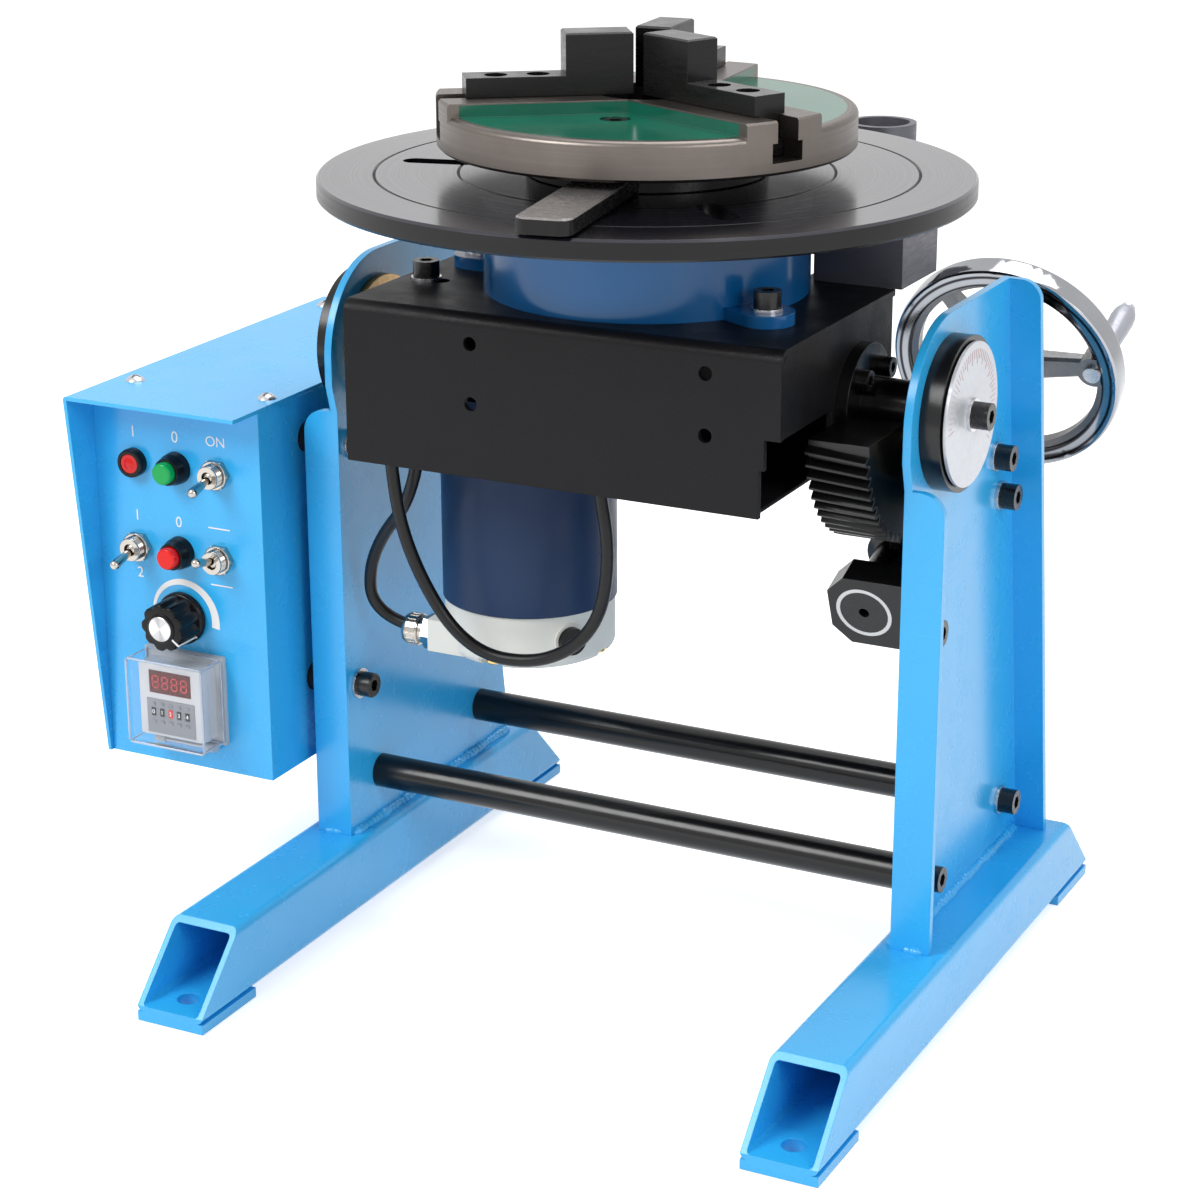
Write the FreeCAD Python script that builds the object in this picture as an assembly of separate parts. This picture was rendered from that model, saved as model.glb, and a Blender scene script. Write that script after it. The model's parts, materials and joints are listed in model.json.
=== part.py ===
import FreeCAD, Part
import math, os

V = FreeCAD.Vector
X, Y, Z = V(1, 0, 0), V(0, 1, 0), V(0, 0, 1)

# driving sizes, mm. The table axis is x = y = 0 here, the floor z = 0 and -Y the operator's side.
# save() then moves every piece by axis_y, which puts the origin midway between the foot holes.
axis_y = 10.0
table_d = 315.0
table_t = 10.0
chuck_d = 200.0
tilt_axis_z = 302.0
box_over = 44.0
table_over = 56.0
side_gap = 304.0
side_t = 4.0
flange_w = 20.0
side_over = 47.0
side_front_y = -42.0
side_back_low_y = 131.0
side_back_high_y = 84.0
foot_w = 38.0
foot_y0 = -197.0
foot_y1 = 177.0
foot_out = 10.0
foot_wall = 3.0
pad_t = 5.0
pad_len = 47.0
foot_hole_in = 17.0
foot_hole_r = 6.0
rod_r = 9.0
rod_z = 69.0
rod_front_y = -10.0
rod_back_y = 98.0
box_space_left = 36.0
box_space_right = 41.0
box_front = -91.0
box_back = 45.0
box_under = 35.0
sheet_t = 3.0
drum_r = 79.0
drum_gap = 6.0
drum_lid = 6.0
bearing_r = 31.0
bearing_h = 9.0
spindle_r = 17.5
spindle_bore = 8.0
spindle_flange_r = 50.0
spindle_flange_t = 4.0
spur_m = 2.0
gear_n = 32
pinion_n = 16
gear_w = 12.0
gear_rise = 3.5
motor_off = 18.0
motor_r = 44.5
motor_len = 103.0
head_h = 60.0
cap_r = 43.5
cap_len = 28.0
shaft_r = 12.5
bush_wall = 7.5
fit = 0.04
tooth_m = 2.0
wheel_teeth = 62
worm_r = 13.0
worm_in = 19.0
worm_lean = 21.5
block_t = 15.0
hand_r = 61.0
hand_s = 143.5
grip_r = 48.0
panel_y = -73.0
panel_gap = 23.0
panel_w = 100.0
panel_low = 81.0
panel_top = 277.5
panel_back = 150.0
jaw_w = 18.0
land_angle = -24.5
chuck_lift = 13.0
chuck_floor = 31.5
chuck_land = 37.8
chuck_bore_r = 25.0
jaw_margin = 13.0
jaw_low_h = 9.5
jaw_high_h = 29.2
jaw_step = 47.0
torch_len = 55.5
torch_r = 18.0
torch_bore_r = 14.5
timer_size = 48.0
timer_in = 26.0
timer_low = 97.0
knob_z = 163.0
cable_r = 3.2

half_gap = side_gap / 2
web_out = half_gap + side_t
foot_x = half_gap + foot_out
box_left = box_space_left - half_gap
box_right = half_gap - box_space_right
box_top = tilt_axis_z + box_over
box_low = tilt_axis_z - box_under
table_top_z = box_top + table_over
side_top_z = tilt_axis_z + side_over
panel_right = -web_out - panel_gap
panel_left = panel_right - panel_w
shaft_x = -spur_m * (gear_n + pinion_n) / 2
motor_x = shaft_x - motor_off
worm_x = box_right + worm_in
foot_h = foot_w
foot_top = pad_t + foot_h
table_low = table_top_z - table_t
wheel_r = tooth_m * wheel_teeth / 2
worm_a = wheel_r + worm_r
lean = math.radians(worm_lean)
U = V(0, math.cos(lean), math.sin(lean))
M = V(0, -math.sin(lean), math.cos(lean))
worm_foot = V(worm_x, 0, tilt_axis_z) - M * worm_a


def box(x0, x1, y0, y1, z0, z1):
    return Part.makeBox(x1 - x0, y1 - y0, z1 - z0, V(x0, y0, z0))


def cyl(p, d, length, r):
    return Part.makeCylinder(r, length, p, d)


def tube(p, d, length, r, r_in):
    return cyl(p, d, length, r).cut(cyl(p - d * 1, d, length + 2, r_in))


def prism(points, along):
    return Part.Face(Part.makePolygon(points + [points[0]])).extrude(along)


def yz(points, x, width):
    return prism([V(x, a, b) for a, b in points], V(width, 0, 0))


def xy(points, z, height):
    return prism([V(a, b, z) for a, b in points], V(0, 0, height))


def fuse(shapes):
    out = shapes[0]
    for other in shapes[1:]:
        out = out.fuse(other)
    return out.removeSplitter()


def cutall(shape, tools):
    for tool in tools:
        shape = shape.cut(tool)
    return shape


def mirror_x(shape):
    return shape.mirror(V(0, 0, 0), X)


def turn_z(shape, deg):
    out = shape.copy()
    out.rotate(V(0, 0, 0), Z, deg)
    return out


def hex_prism(p, d, length, flats):
    side = d.cross(Z) if abs(d.z) < 0.9 else d.cross(X)
    side.normalize()
    up = d.cross(side)
    ring = []
    for k in range(6):
        a = math.radians(60 * k)
        ring.append(p + (side * math.cos(a) + up * math.sin(a)) * (flats / math.sqrt(3)))
    return prism(ring, d * length)


def socket_bolt(seat, d, r, grip):
    head = cyl(seat, d, 2 * r, 1.62 * r).cut(hex_prism(seat + d * (1.0 * r), d, 1.1 * r, 1.5 * r))
    return head.fuse(cyl(seat - d * grip, d, grip, r)).removeSplitter()


def washer(seat, d, r_in, r, t):
    return tube(seat, d, t, r, r_in)


def slot(x0, x1, y, r, z0, z1):
    ends = [cyl(V(x0, y, z0), Z, z1 - z0, r), cyl(V(x1, y, z0), Z, z1 - z0, r)]
    return fuse([box(x0, x1, y - r, y + r, z0, z1)] + ends)


def save(name, shapes):
    shapes = shapes if isinstance(shapes, list) else [shapes]
    solids = [s for shape in shapes for s in shape.Solids]
    solids = [s.translated(V(0, axis_y, 0)) for s in solids]
    out = solids[0] if len(solids) == 1 else Part.makeCompound(solids)
    out.exportStep("parts/%s.step" % name)
    print(name, len(solids), "valid" if out.isValid() else "NOT VALID", round(out.Volume / 1000.0, 2))


os.makedirs("parts", exist_ok=True)

# feet: square tube with both ends cut at 45 degrees, a pad welded under each end
raw = box(foot_x - foot_w / 2, foot_x + foot_w / 2, foot_y0, foot_y1, pad_t, foot_top)
raw = raw.makeFillet(4.0, [e for e in raw.Edges if abs(e.tangentAt(0).y) > 0.9])
inner = box(foot_x - foot_w / 2 + foot_wall, foot_x + foot_w / 2 - foot_wall, foot_y0 - 1, foot_y1 + 1,
            pad_t + foot_wall, foot_top - foot_wall)
inner = inner.makeFillet(2.0, [e for e in inner.Edges if abs(e.tangentAt(0).y) > 0.9])
raw = raw.cut(inner)
near = [(foot_y0 - 5, pad_t + 3), (foot_y0, pad_t + 3), (foot_y0 + foot_h, foot_top + 3), (foot_y0 - 5, foot_top + 3)]
far = [(foot_y1 + 5, pad_t + 3), (foot_y1, pad_t + 3), (foot_y1 - foot_h, foot_top + 3), (foot_y1 + 5, foot_top + 3)]
raw = cutall(raw, [yz(near, foot_x - foot_w, 2 * foot_w), yz(far, foot_x - foot_w, 2 * foot_w)])
hole_ys = [foot_y0 + foot_hole_in, foot_y1 - foot_hole_in]
foot_holes = [cyl(V(foot_x, y, -1), Z, pad_t + foot_wall + 2, foot_hole_r) for y in hole_ys]
for y0 in (foot_y0, foot_y1 - pad_len):
    raw = raw.fuse(box(foot_x - foot_w / 2, foot_x + foot_w / 2, y0, y0 + pad_len, 0, pad_t + 0.01))
right_foot = cutall(raw, foot_holes).removeSplitter()
save("feet", [right_foot, mirror_x(right_foot)])

# side plates: a web with a round front shoulder about the tilt axis and two flanges turned outwards
web_low = foot_top
arc_r = 48.0
arc_y = 2.0
arc_z = side_top_z - arc_r
flange_top = tilt_axis_z - 28.0
a45 = math.radians(135)
mid_arc = V(half_gap, arc_y + arc_r * math.cos(a45), arc_z + arc_r * math.sin(a45))
p = [V(half_gap, side_front_y, web_low), V(half_gap, side_front_y, flange_top),
     V(half_gap, arc_y - arc_r, flange_top + 14), V(half_gap, arc_y - arc_r, arc_z),
     V(half_gap, arc_y, side_top_z), V(half_gap, side_back_high_y, side_top_z),
     V(half_gap, side_back_low_y, web_low)]
edges = [Part.LineSegment(p[0], p[1]), Part.LineSegment(p[1], p[2]), Part.LineSegment(p[2], p[3]),
         Part.Arc(p[3], mid_arc, p[4]), Part.LineSegment(p[4], p[5]), Part.LineSegment(p[5], p[6]),
         Part.LineSegment(p[6], p[0])]
web = Part.Face(Part.Wire([e.toShape() for e in edges])).extrude(V(side_t, 0, 0))
front_flange = box(half_gap, half_gap + flange_w, side_front_y, side_front_y + side_t, web_low, flange_top)
top_edge = [e for e in front_flange.Edges
            if e.BoundBox.XMin > half_gap + flange_w - 0.1 and e.BoundBox.ZMin > flange_top - 0.1]
front_flange = front_flange.makeFillet(12.0, top_edge)
back_run = side_back_low_y - side_back_high_y
back_rise = side_top_z - web_low
step = side_t * math.hypot(back_run, back_rise) / back_rise
back_pts = [(side_back_high_y - step, side_top_z), (side_back_high_y, side_top_z),
            (side_back_low_y, web_low), (side_back_low_y - step, web_low)]
back_flange = yz(back_pts, half_gap, flange_w)
corner = [e for e in back_flange.Edges
          if e.BoundBox.XMin > half_gap + flange_w - 0.1 and e.BoundBox.ZMin > side_top_z - 0.1]
back_flange = back_flange.makeFillet(10.0, corner)
plate = fuse([web, front_flange, back_flange])
plate = plate.cut(cyl(V(half_gap - 1, 0, tilt_axis_z), X, side_t + 2, 30.0 + fit))
rod_holes = [cyl(V(half_gap - 1, y, rod_z), X, side_t + 2, 4.5) for y in (rod_front_y, rod_back_y)]
plate = cutall(plate, rod_holes)
front_s = -57.0
back_s = 50.5
bolt_v = 12.0
block_bolts = []
for s in (front_s, back_s):
    for v in (-bolt_v, bolt_v):
        q = worm_foot + U * s + M * v
        block_bolts.append(V(half_gap, q.y, q.z))
right_plate = cutall(plate, [cyl(q - X, X, side_t + 2, 4.5) for q in block_bolts])
save("right_side_plate", right_plate)
save("left_side_plate", mirror_x(plate))

# tie rods with tapped ends
rods = []
for y in (rod_front_y, rod_back_y):
    rod = cyl(V(-half_gap, y, rod_z), X, side_gap, rod_r)
    ends = [cyl(V(-half_gap - 1, y, rod_z), X, 18, 4 + fit), cyl(V(half_gap - 17, y, rod_z), X, 18, 4 + fit)]
    rods.append(cutall(rod, ends))
save("tie_rods", rods)
seats = [V(web_out, y, rod_z) for y in (rod_front_y, rod_back_y)] + [V(web_out, q.y, q.z) for q in block_bolts]
fw = [washer(q, X, 4.3, 7.5, 2.0) for q in seats] + [mirror_x(washer(q, X, 4.3, 7.5, 2.0)) for q in seats[:2]]
fb = [socket_bolt(q + X * 2, X, 4.0, 16.0) for q in seats]
fb += [mirror_x(socket_bolt(q + X * 2, X, 4.0, 16.0)) for q in seats[:2]]
save("frame_washers", fw)
save("frame_bolts", fb)

# trunnion bearings in the side plates
bush_r = shaft_r + bush_wall
house = fuse([cyl(V(web_out, 0, tilt_axis_z), X, 10, 37.0), cyl(V(half_gap, 0, tilt_axis_z), X, side_t, 30.0)])
house = house.cut(cyl(V(half_gap - 1, 0, tilt_axis_z), X, 20, bush_r))
bush = fuse([cyl(V(half_gap - 4, 0, tilt_axis_z), X, 4, 34.0), cyl(V(half_gap, 0, tilt_axis_z), X, 12.5, bush_r)])
bush = bush.cut(cyl(V(half_gap - 6, 0, tilt_axis_z), X, 20, shaft_r + fit))
save("bearing_housings", [house, mirror_x(house)])
save("trunnion_bushes", [bush, mirror_x(bush)])

# worm drive: two eight-sided blocks, bushes, threaded shaft
worm_journal_r = 12.0
block_in = worm_x - 17.5
blocks, bushes = [], []
for s in (front_s, back_s):
    start = worm_foot + U * (s - block_t / 2)
    outline = [(block_in - worm_x, -10.5), (block_in - worm_x + 9, -19.5), (half_gap - worm_x, -19.5),
               (half_gap - worm_x, 19.5), (block_in - worm_x + 9, 19.5), (block_in - worm_x, 10.5)]
    block = prism([start + X * a + M * b for a, b in outline], U * block_t)
    block = block.cut(cyl(start - U, U, block_t + 2, worm_journal_r + 2))
    for v in (-bolt_v, bolt_v):
        q = worm_foot + U * s + M * v
        block = block.cut(cyl(V(half_gap - 10.2, q.y, q.z), X, 12, 4 + fit))
    blocks.append(block)
    bushes.append(tube(start, U, block_t, worm_journal_r + 2, worm_journal_r + fit))
save("worm_blocks", blocks)
save("worm_bushes", bushes)

lead = math.pi * tooth_m
turns = 8
thread_half = 0.7 * tooth_m
flank = math.tan(math.radians(20))
root_r, tip_r = worm_r - 1.25 * tooth_m, worm_r + tooth_m
half_root = thread_half + (worm_r - root_r + 0.3) * flank
half_tip = thread_half - (tip_r - worm_r) * flank
profile = [V(root_r - 0.3, 0, -half_root), V(tip_r, 0, -half_tip), V(tip_r, 0, half_tip), V(root_r - 0.3, 0, half_root)]
helix = Part.makeHelix(lead, lead * turns, worm_r)
thread = Part.Wire(helix.Edges).makePipeShell([Part.makePolygon(profile + [profile[0]])], True, True)
thread.translate(V(0, 0, -lead * turns / 2))
core_a, core_b = front_s + block_t / 2, back_s - block_t / 2
hub_bore = 8.0
local = [cyl(V(0, 0, core_a), Z, core_b - core_a, root_r),
         cyl(V(0, 0, front_s - block_t / 2), Z, block_t + 0.3, worm_journal_r),
         cyl(V(0, 0, core_b - 0.3), Z, block_t + 0.6, worm_journal_r),
         cyl(V(0, 0, core_a + 0.3), Z, 5, 15.0), cyl(V(0, 0, core_b - 5.3), Z, 5, 15.0),
         cyl(V(0, 0, core_b), Z, hand_s + 10 - core_b, hub_bore)]
worm = fuse(local)
worm = worm.fuse(thread)
worm = worm.cut(cyl(V(0, 0, front_s - block_t / 2 - 1), Z, 9, 2.6))
place = FreeCAD.Matrix(M.x, 1, U.x, worm_foot.x, M.y, 0, U.y, worm_foot.y, M.z, 0, U.z, worm_foot.z, 0, 0, 0, 1)
worm.Placement = FreeCAD.Placement(place)
save("worm_shaft", worm)

# handwheel on the back end of the worm shaft, with a turning crank grip
grip_pin_r = 3.0
wheel_hub_r, hub_h = 14.0, 20.0
spoke_angle = 84.0
hub_line = [(0, -hub_h / 2), (wheel_hub_r - 2, -hub_h / 2), (wheel_hub_r, -hub_h / 2 + 2), (wheel_hub_r + 1.5, 0),
            (wheel_hub_r, hub_h / 2 - 2), (wheel_hub_r - 2, hub_h / 2), (0, hub_h / 2)]
hub_line = [V(u, 0, w) for u, w in hub_line]
wheel = Part.Face(Part.makePolygon(hub_line + [hub_line[0]])).revolve(V(0, 0, 0), Z, 360)
rim_line = [(-12.5, -3), (-9.5, -4.5), (-9, -7), (-2, -7), (-0.6, -6.2), (0, -4.5), (0, 4.5), (-0.6, 6.2), (-2, 7),
            (-9, 7), (-9.5, 4.5), (-12.5, 3)]
section = [V(hand_r + u, 0, w) for u, w in rim_line]
wheel = wheel.fuse(Part.Face(Part.makePolygon(section + [section[0]])).revolve(V(0, 0, 0), Z, 360))
for k in range(3):
    ends = []
    for x, w, h in ((wheel_hub_r - 3, 14.0, 10.0), (hand_r - 11, 10.0, 6.5)):
        c = 1.5
        ring = [(-w / 2 + c, -h / 2), (w / 2 - c, -h / 2), (w / 2, -h / 2 + c), (w / 2, h / 2 - c),
                (w / 2 - c, h / 2), (-w / 2 + c, h / 2), (-w / 2, h / 2 - c), (-w / 2, -h / 2 + c)]
        ring = [V(x, p, q) for p, q in ring]
        ends.append(Part.makePolygon(ring + [ring[0]]))
    spoke = Part.makeLoft(ends, True, True)
    spoke.rotate(V(0, 0, 0), Z, spoke_angle + 120 * k)
    wheel = wheel.fuse(spoke)
grip_c = V(math.cos(math.radians(spoke_angle)) * grip_r, math.sin(math.radians(spoke_angle)) * grip_r, 0)
wheel = wheel.fuse(cyl(grip_c - Z * 7, Z, 14, 8.5))
wheel = wheel.cut(cyl(grip_c - Z * 8, Z, 16, grip_pin_r))
wheel = wheel.cut(cyl(V(0, 0, -12), Z, 24, hub_bore)).removeSplitter()
wheel.translate(Z * hand_s)
wheel.Placement = FreeCAD.Placement(place).multiply(wheel.Placement)
save("handwheel", wheel)
pin = cyl(grip_c + Z * (hand_s - 9.5), Z, 2.5, 4.5).fuse(cyl(grip_c + Z * (hand_s - 7), Z, 57.5, grip_pin_r))
pin = pin.fuse(cyl(grip_c + Z * (hand_s + 50.5), Z, 2, 4.0)).removeSplitter()
pin.Placement = FreeCAD.Placement(place)
save("grip_pin", pin)
g0 = hand_s + 7.4
bore = grip_pin_r + 0.05
grip_line = [V(bore, 0, 0), V(5.2, 0, 0), V(5.2, 0, 3), V(4.7, 0, 4.5), V(5.5, 0, 14), V(6.3, 0, 28), V(6.5, 0, 34),
             V(6.1, 0, 38.5), V(5.2, 0, 41.5), V(4.3, 0, 42.8), V(bore, 0, 42.8)]
grip = Part.Face(Part.makePolygon(grip_line + [grip_line[0]])).revolve(V(0, 0, 0), Z, 360)
grip.translate(grip_c + Z * g0)
grip.Placement = FreeCAD.Placement(place).multiply(grip.Placement)
save("crank_grip", grip)

# tilting box: a bent sheet with an open underside, and two end plates
notch_z = tilt_axis_z - 12.0
lug_z = tilt_axis_z + 2.5
front_pts = [(box_left, box_low), (box_right - 10.5, box_low), (box_right - 10.5, notch_z), (box_right - 8, notch_z),
             (box_right - 8, lug_z), (box_right, lug_z), (box_right, box_top), (box_left, box_top)]
skin = prism([V(a, box_front, b) for a, b in front_pts], V(0, sheet_t, 0))
lid = box(box_left, box_right, box_front, box_back, box_top - sheet_t, box_top)
tab = box(62, 106, box_back - 1, box_back + 49, box_top - sheet_t, box_top)
shell = fuse([skin, lid, tab])
bend = [e for e in shell.Edges if e.BoundBox.YMax < box_front + 0.1 and e.BoundBox.ZMin > box_top - 0.1]
shell = shell.makeFillet(6.0, bend)
inside = [e for e in shell.Edges if abs(e.BoundBox.YMax - box_front - sheet_t) < 0.05
          and abs(e.BoundBox.ZMin - box_top + sheet_t) < 0.05 and e.BoundBox.XLength > 50]
shell = shell.makeFillet(3.0, inside)
bolt_dx, bolt_dy = 36.0, 36.0
motor_bolts = [V(motor_x + a * bolt_dx, b * bolt_dy, box_top) for a in (-1, 1) for b in (-1, 1)]
pilot_r = 11.7
shell = cutall(shell, [slot(q.x - 4, q.x + 8, q.y, 4.5, box_top - 5, box_top + 1) for q in motor_bolts])
tab_angles = [-28.0, 75.0, 178.0]
tab_bolts = [V(94 * math.cos(math.radians(a)), 94 * math.sin(math.radians(a)), box_top) for a in tab_angles]
shell = cutall(shell, [cyl(V(q.x, q.y, box_top - 5), Z, 8, 4 + fit) for q in tab_bolts])
shell = shell.cut(cyl(V(0, 0, box_top - 5), Z, 8, spindle_r + 4.5)).cut(cyl(V(shaft_x, 0, box_top - 5), Z, 8, pilot_r + 0.3))
for hx in (-47.5, 73.7):
    for hz in (tilt_axis_z + 1.0, tilt_axis_z + 30.0):
        shell = shell.cut(cyl(V(hx, box_front - 1, hz), Y, 6, 3.4))
save("tilt_box", shell)
y_in = box_front + sheet_t
under = box_top - sheet_t
tz = tilt_axis_z
right_pts = [(y_in, under - 3), (y_in, tz + 3), (-31, tz + 3), (-31, tz - 32), (31, tz - 32), (31, tz - 4), (42, tz + 2),
             (42, under), (y_in + 3, under)]
left_pts = [(y_in, under - 3), (y_in, box_low), (30, box_low), (42, tz - 17), (42, under), (y_in + 3, under)]
pitch_r = shaft_r + 7.5
d45 = pitch_r * math.sqrt(0.5)
flange_r = shaft_r + 15.5
screw_pts = [(d45, d45), (-d45, d45), (d45, -d45), (-d45, -d45)]
right_end = yz(right_pts, box_right - sheet_t, sheet_t)
left_end = yz(left_pts, box_left, sheet_t)
for a, b in screw_pts + [(0, -pitch_r)]:
    right_end = right_end.cut(cyl(V(box_right - 5, a, tilt_axis_z + b), X, 8, 3 + fit))
for a, b in screw_pts:
    left_end = left_end.cut(cyl(V(box_left - 2, a, tilt_axis_z + b), X, 8, 3 + fit))
save("end_plates", [right_end, left_end])

# trunnion shafts: flange on the end plate, journal through the side plate
end_x = web_out + 10.8
right_tr = fuse([cyl(V(box_right, 0, tilt_axis_z), X, 6, flange_r),
                 cyl(V(box_right, 0, tilt_axis_z), X, end_x - box_right, shaft_r)])
right_tr = right_tr.cut(cyl(V(end_x - 18, 0, tilt_axis_z), X, 20, 4 + fit))
left_tr = fuse([cyl(V(box_left - 6, 0, tilt_axis_z), X, 6, flange_r),
                cyl(V(-end_x, 0, tilt_axis_z), X, end_x + box_left, shaft_r)])
for a, b in screw_pts + [(0, -pitch_r)]:
    right_tr = right_tr.cut(cyl(V(box_right - 1, a, tilt_axis_z + b), X, 8, 3 + fit))
left_tr = left_tr.cut(cyl(V(-end_x - 2, 0, tilt_axis_z), X, 20, 4 + fit))
for a, b in screw_pts:
    left_tr = left_tr.cut(cyl(V(box_left - 7, a, tilt_axis_z + b), X, 8, 3 + fit))
save("trunnion_shafts", [right_tr, left_tr])

# worm wheel sector, below a flat cut just under the tilt axis
g_x0, g_w = box_right, 30.0
root_w, tip_w = wheel_r - 1.25 * tooth_m, wheel_r + tooth_m
start_deg, end_deg = 183.7, 313.0
hub_r = flange_r + 3.0
arc_mid = math.radians((start_deg + end_deg) / 2)
flat = -4.0


def at(r, deg, x=g_x0):
    return V(x, r * math.cos(math.radians(deg)), tilt_axis_z + r * math.sin(math.radians(deg)))


rim_a = V(g_x0, -math.sqrt(root_w ** 2 - flat ** 2), tilt_axis_z + flat)
hub_b = V(g_x0, math.sqrt(hub_r ** 2 - flat ** 2), tilt_axis_z + flat)
segs = [Part.Arc(rim_a, at(root_w, 250), at(root_w, end_deg)),
        Part.LineSegment(at(root_w, end_deg), at(hub_r, end_deg)),
        Part.Arc(at(hub_r, end_deg), at(hub_r, 335), hub_b), Part.LineSegment(hub_b, rim_a)]
sector = Part.Face(Part.Wire([s.toShape() for s in segs])).extrude(V(g_w, 0, 0))
pitch_deg = 360.0 / wheel_teeth
mesh_deg = 270 + worm_lean
half_t, half_c, half_r = 0.31 * tooth_m, 0.69 * tooth_m, 1.125 * tooth_m
twist = math.degrees(lead / (2 * math.pi * worm_r) * (g_w / 2) / wheel_r)
offset = (worm_x - g_x0 - g_w / 2) / (g_w / 2)
teeth = []
for k in range(-40, 20):
    mid = mesh_deg + (k + 0.5) * pitch_deg
    if mid < start_deg + 2.0 or mid > end_deg - 2.0:
        continue
    rings = []
    for side in (-1, 1):
        x = g_x0 if side < 0 else g_x0 + g_w
        c = mid + twist * (side - offset)
        pts = []
        for r, h in ((root_w - 1.0, half_r + 0.3), (wheel_r, half_c), (tip_w, half_t)):
            pts.append(at(r, c - math.degrees(h / r), x))
        for r, h in ((tip_w, half_t), (wheel_r, half_c), (root_w - 1.0, half_r + 0.3)):
            pts.append(at(r, c + math.degrees(h / r), x))
        rings.append(Part.makePolygon(pts + [pts[0]]))
    teeth.append(Part.makeLoft(rings, True, True))
sector = sector.multiFuse(teeth).removeSplitter()
sector = sector.cut(box(g_x0 - 1, g_x0 + g_w + 1, -80, 80, tilt_axis_z + flat, tilt_axis_z + 10))
sector = sector.cut(cyl(V(g_x0 - 1, 0, tilt_axis_z), X, 7.0, flange_r + 0.3))
sector = sector.cut(cyl(V(g_x0 - 1, 0, tilt_axis_z), X, g_w + 2, shaft_r + 0.3))
gear_screws = [(d45, -d45), (-d45, -d45), (0, -pitch_r)]
for a, b in gear_screws:
    sector = sector.cut(cyl(V(g_x0 + 10, a, tilt_axis_z + b), X, g_w, 5.6))
    sector = sector.cut(cyl(V(g_x0 + 5, a, tilt_axis_z + b), X, g_w, 3 + fit))
save("gear_sector", sector)
screws = [socket_bolt(V(box_right + 6, a, tilt_axis_z + b), X, 3.0, 10.0) for a, b in screw_pts[:2]]
screws += [socket_bolt(V(g_x0 + 10, a, tilt_axis_z + b), X, 3.0, 14.0) for a, b in gear_screws]
screws += [socket_bolt(V(box_left - 6, a, tilt_axis_z + b), X * -1, 3.0, 10.0) for a, b in screw_pts]

dial_x = end_x
dial_t = 1.5
dial = cyl(V(dial_x, 0, tilt_axis_z), X, dial_t, 34.3).cut(cyl(V(dial_x - 1, 0, tilt_axis_z), X, 4, 4.3))
save("angle_dial", dial)

# drum: bearing housing of the table spindle, three feet bolted to the box
drum_top = table_low - drum_gap
ring_high = drum_top - 1.0 - bearing_h
ring_low = ring_high - 3.0 - bearing_h
lid_z = drum_top - drum_lid
drum = fuse([tube(V(0, 0, box_top), Z, lid_z - box_top, drum_r, drum_r - 6.0), cyl(V(0, 0, lid_z), Z, drum_lid, drum_r),
             cyl(V(0, 0, ring_low - 1), Z, lid_z + 1 - ring_low + 1, bearing_r + 7.0)])
for a in tab_angles:
    ear = fuse([box(75, 94, -13, 13, box_top, box_top + 6), cyl(V(94, 0, box_top), Z, 6, 13)])
    drum = drum.fuse(turn_z(ear, a))
drum = cutall(drum, [cyl(V(q.x, q.y, box_top - 1), Z, 8, 4 + fit) for q in tab_bolts])
drum = drum.cut(cyl(V(0, 0, ring_low - 2), Z, drum_top + 1 - ring_low, bearing_r))
drum = drum.cut(cyl(V(0, 0, ring_low - 2), Z, 30, bearing_r - 7.0)).removeSplitter()
save("bearing_drum", drum)
rings = [tube(V(0, 0, z), Z, bearing_h, bearing_r, spindle_r + fit) for z in (ring_low, ring_high)]
save("spindle_bearings", rings)
spindle_low = box_top - 6.0
flange_z = table_low - spindle_flange_t
spindle = fuse([cyl(V(0, 0, spindle_low), Z, flange_z - spindle_low, spindle_r),
                cyl(V(0, 0, drum_top - 1), Z, flange_z - drum_top + 1, spindle_r + 4.5),
                cyl(V(0, 0, flange_z), Z, spindle_flange_t, spindle_flange_r)])
spindle = spindle.cut(cyl(V(0, 0, spindle_low - 1), Z, table_low - spindle_low + 2, spindle_bore))


def spur(cx, cy, z0, z1, module, count, first_deg, bore):
    r = module * count / 2
    pts = []
    for k in range(count):
        c = first_deg + 360.0 * k / count
        row = ((r - 1.22 * module, -1.05), (r, -0.66), (r + 0.92 * module, -0.27),
               (r + 0.92 * module, 0.27), (r, 0.66), (r - 1.22 * module, 1.05))
        for rr, h in row:
            a = math.radians(c) + h * module / rr
            pts.append((cx + rr * math.cos(a), cy + rr * math.sin(a)))
    body = xy(pts, z0, z1 - z0)
    return body.cut(cyl(V(cx, cy, z0 - 1), Z, z1 - z0 + 2, bore)) if bore else body


gear_z0 = box_top + gear_rise
gear_z1 = gear_z0 + gear_w
pinion_shaft_r = 7.5
save("spindle_gear", spur(0, 0, gear_z0, gear_z1, spur_m, gear_n, 180.0 / gear_n, spindle_r))
stub = cyl(V(shaft_x, 0, box_top - 22), Z, gear_z1 + 2.5 - box_top + 22, pinion_shaft_r)
pinion = fuse([spur(shaft_x, 0, gear_z0, gear_z1, spur_m, pinion_n, 0, 0), stub])
save("pinion", pinion)

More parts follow.
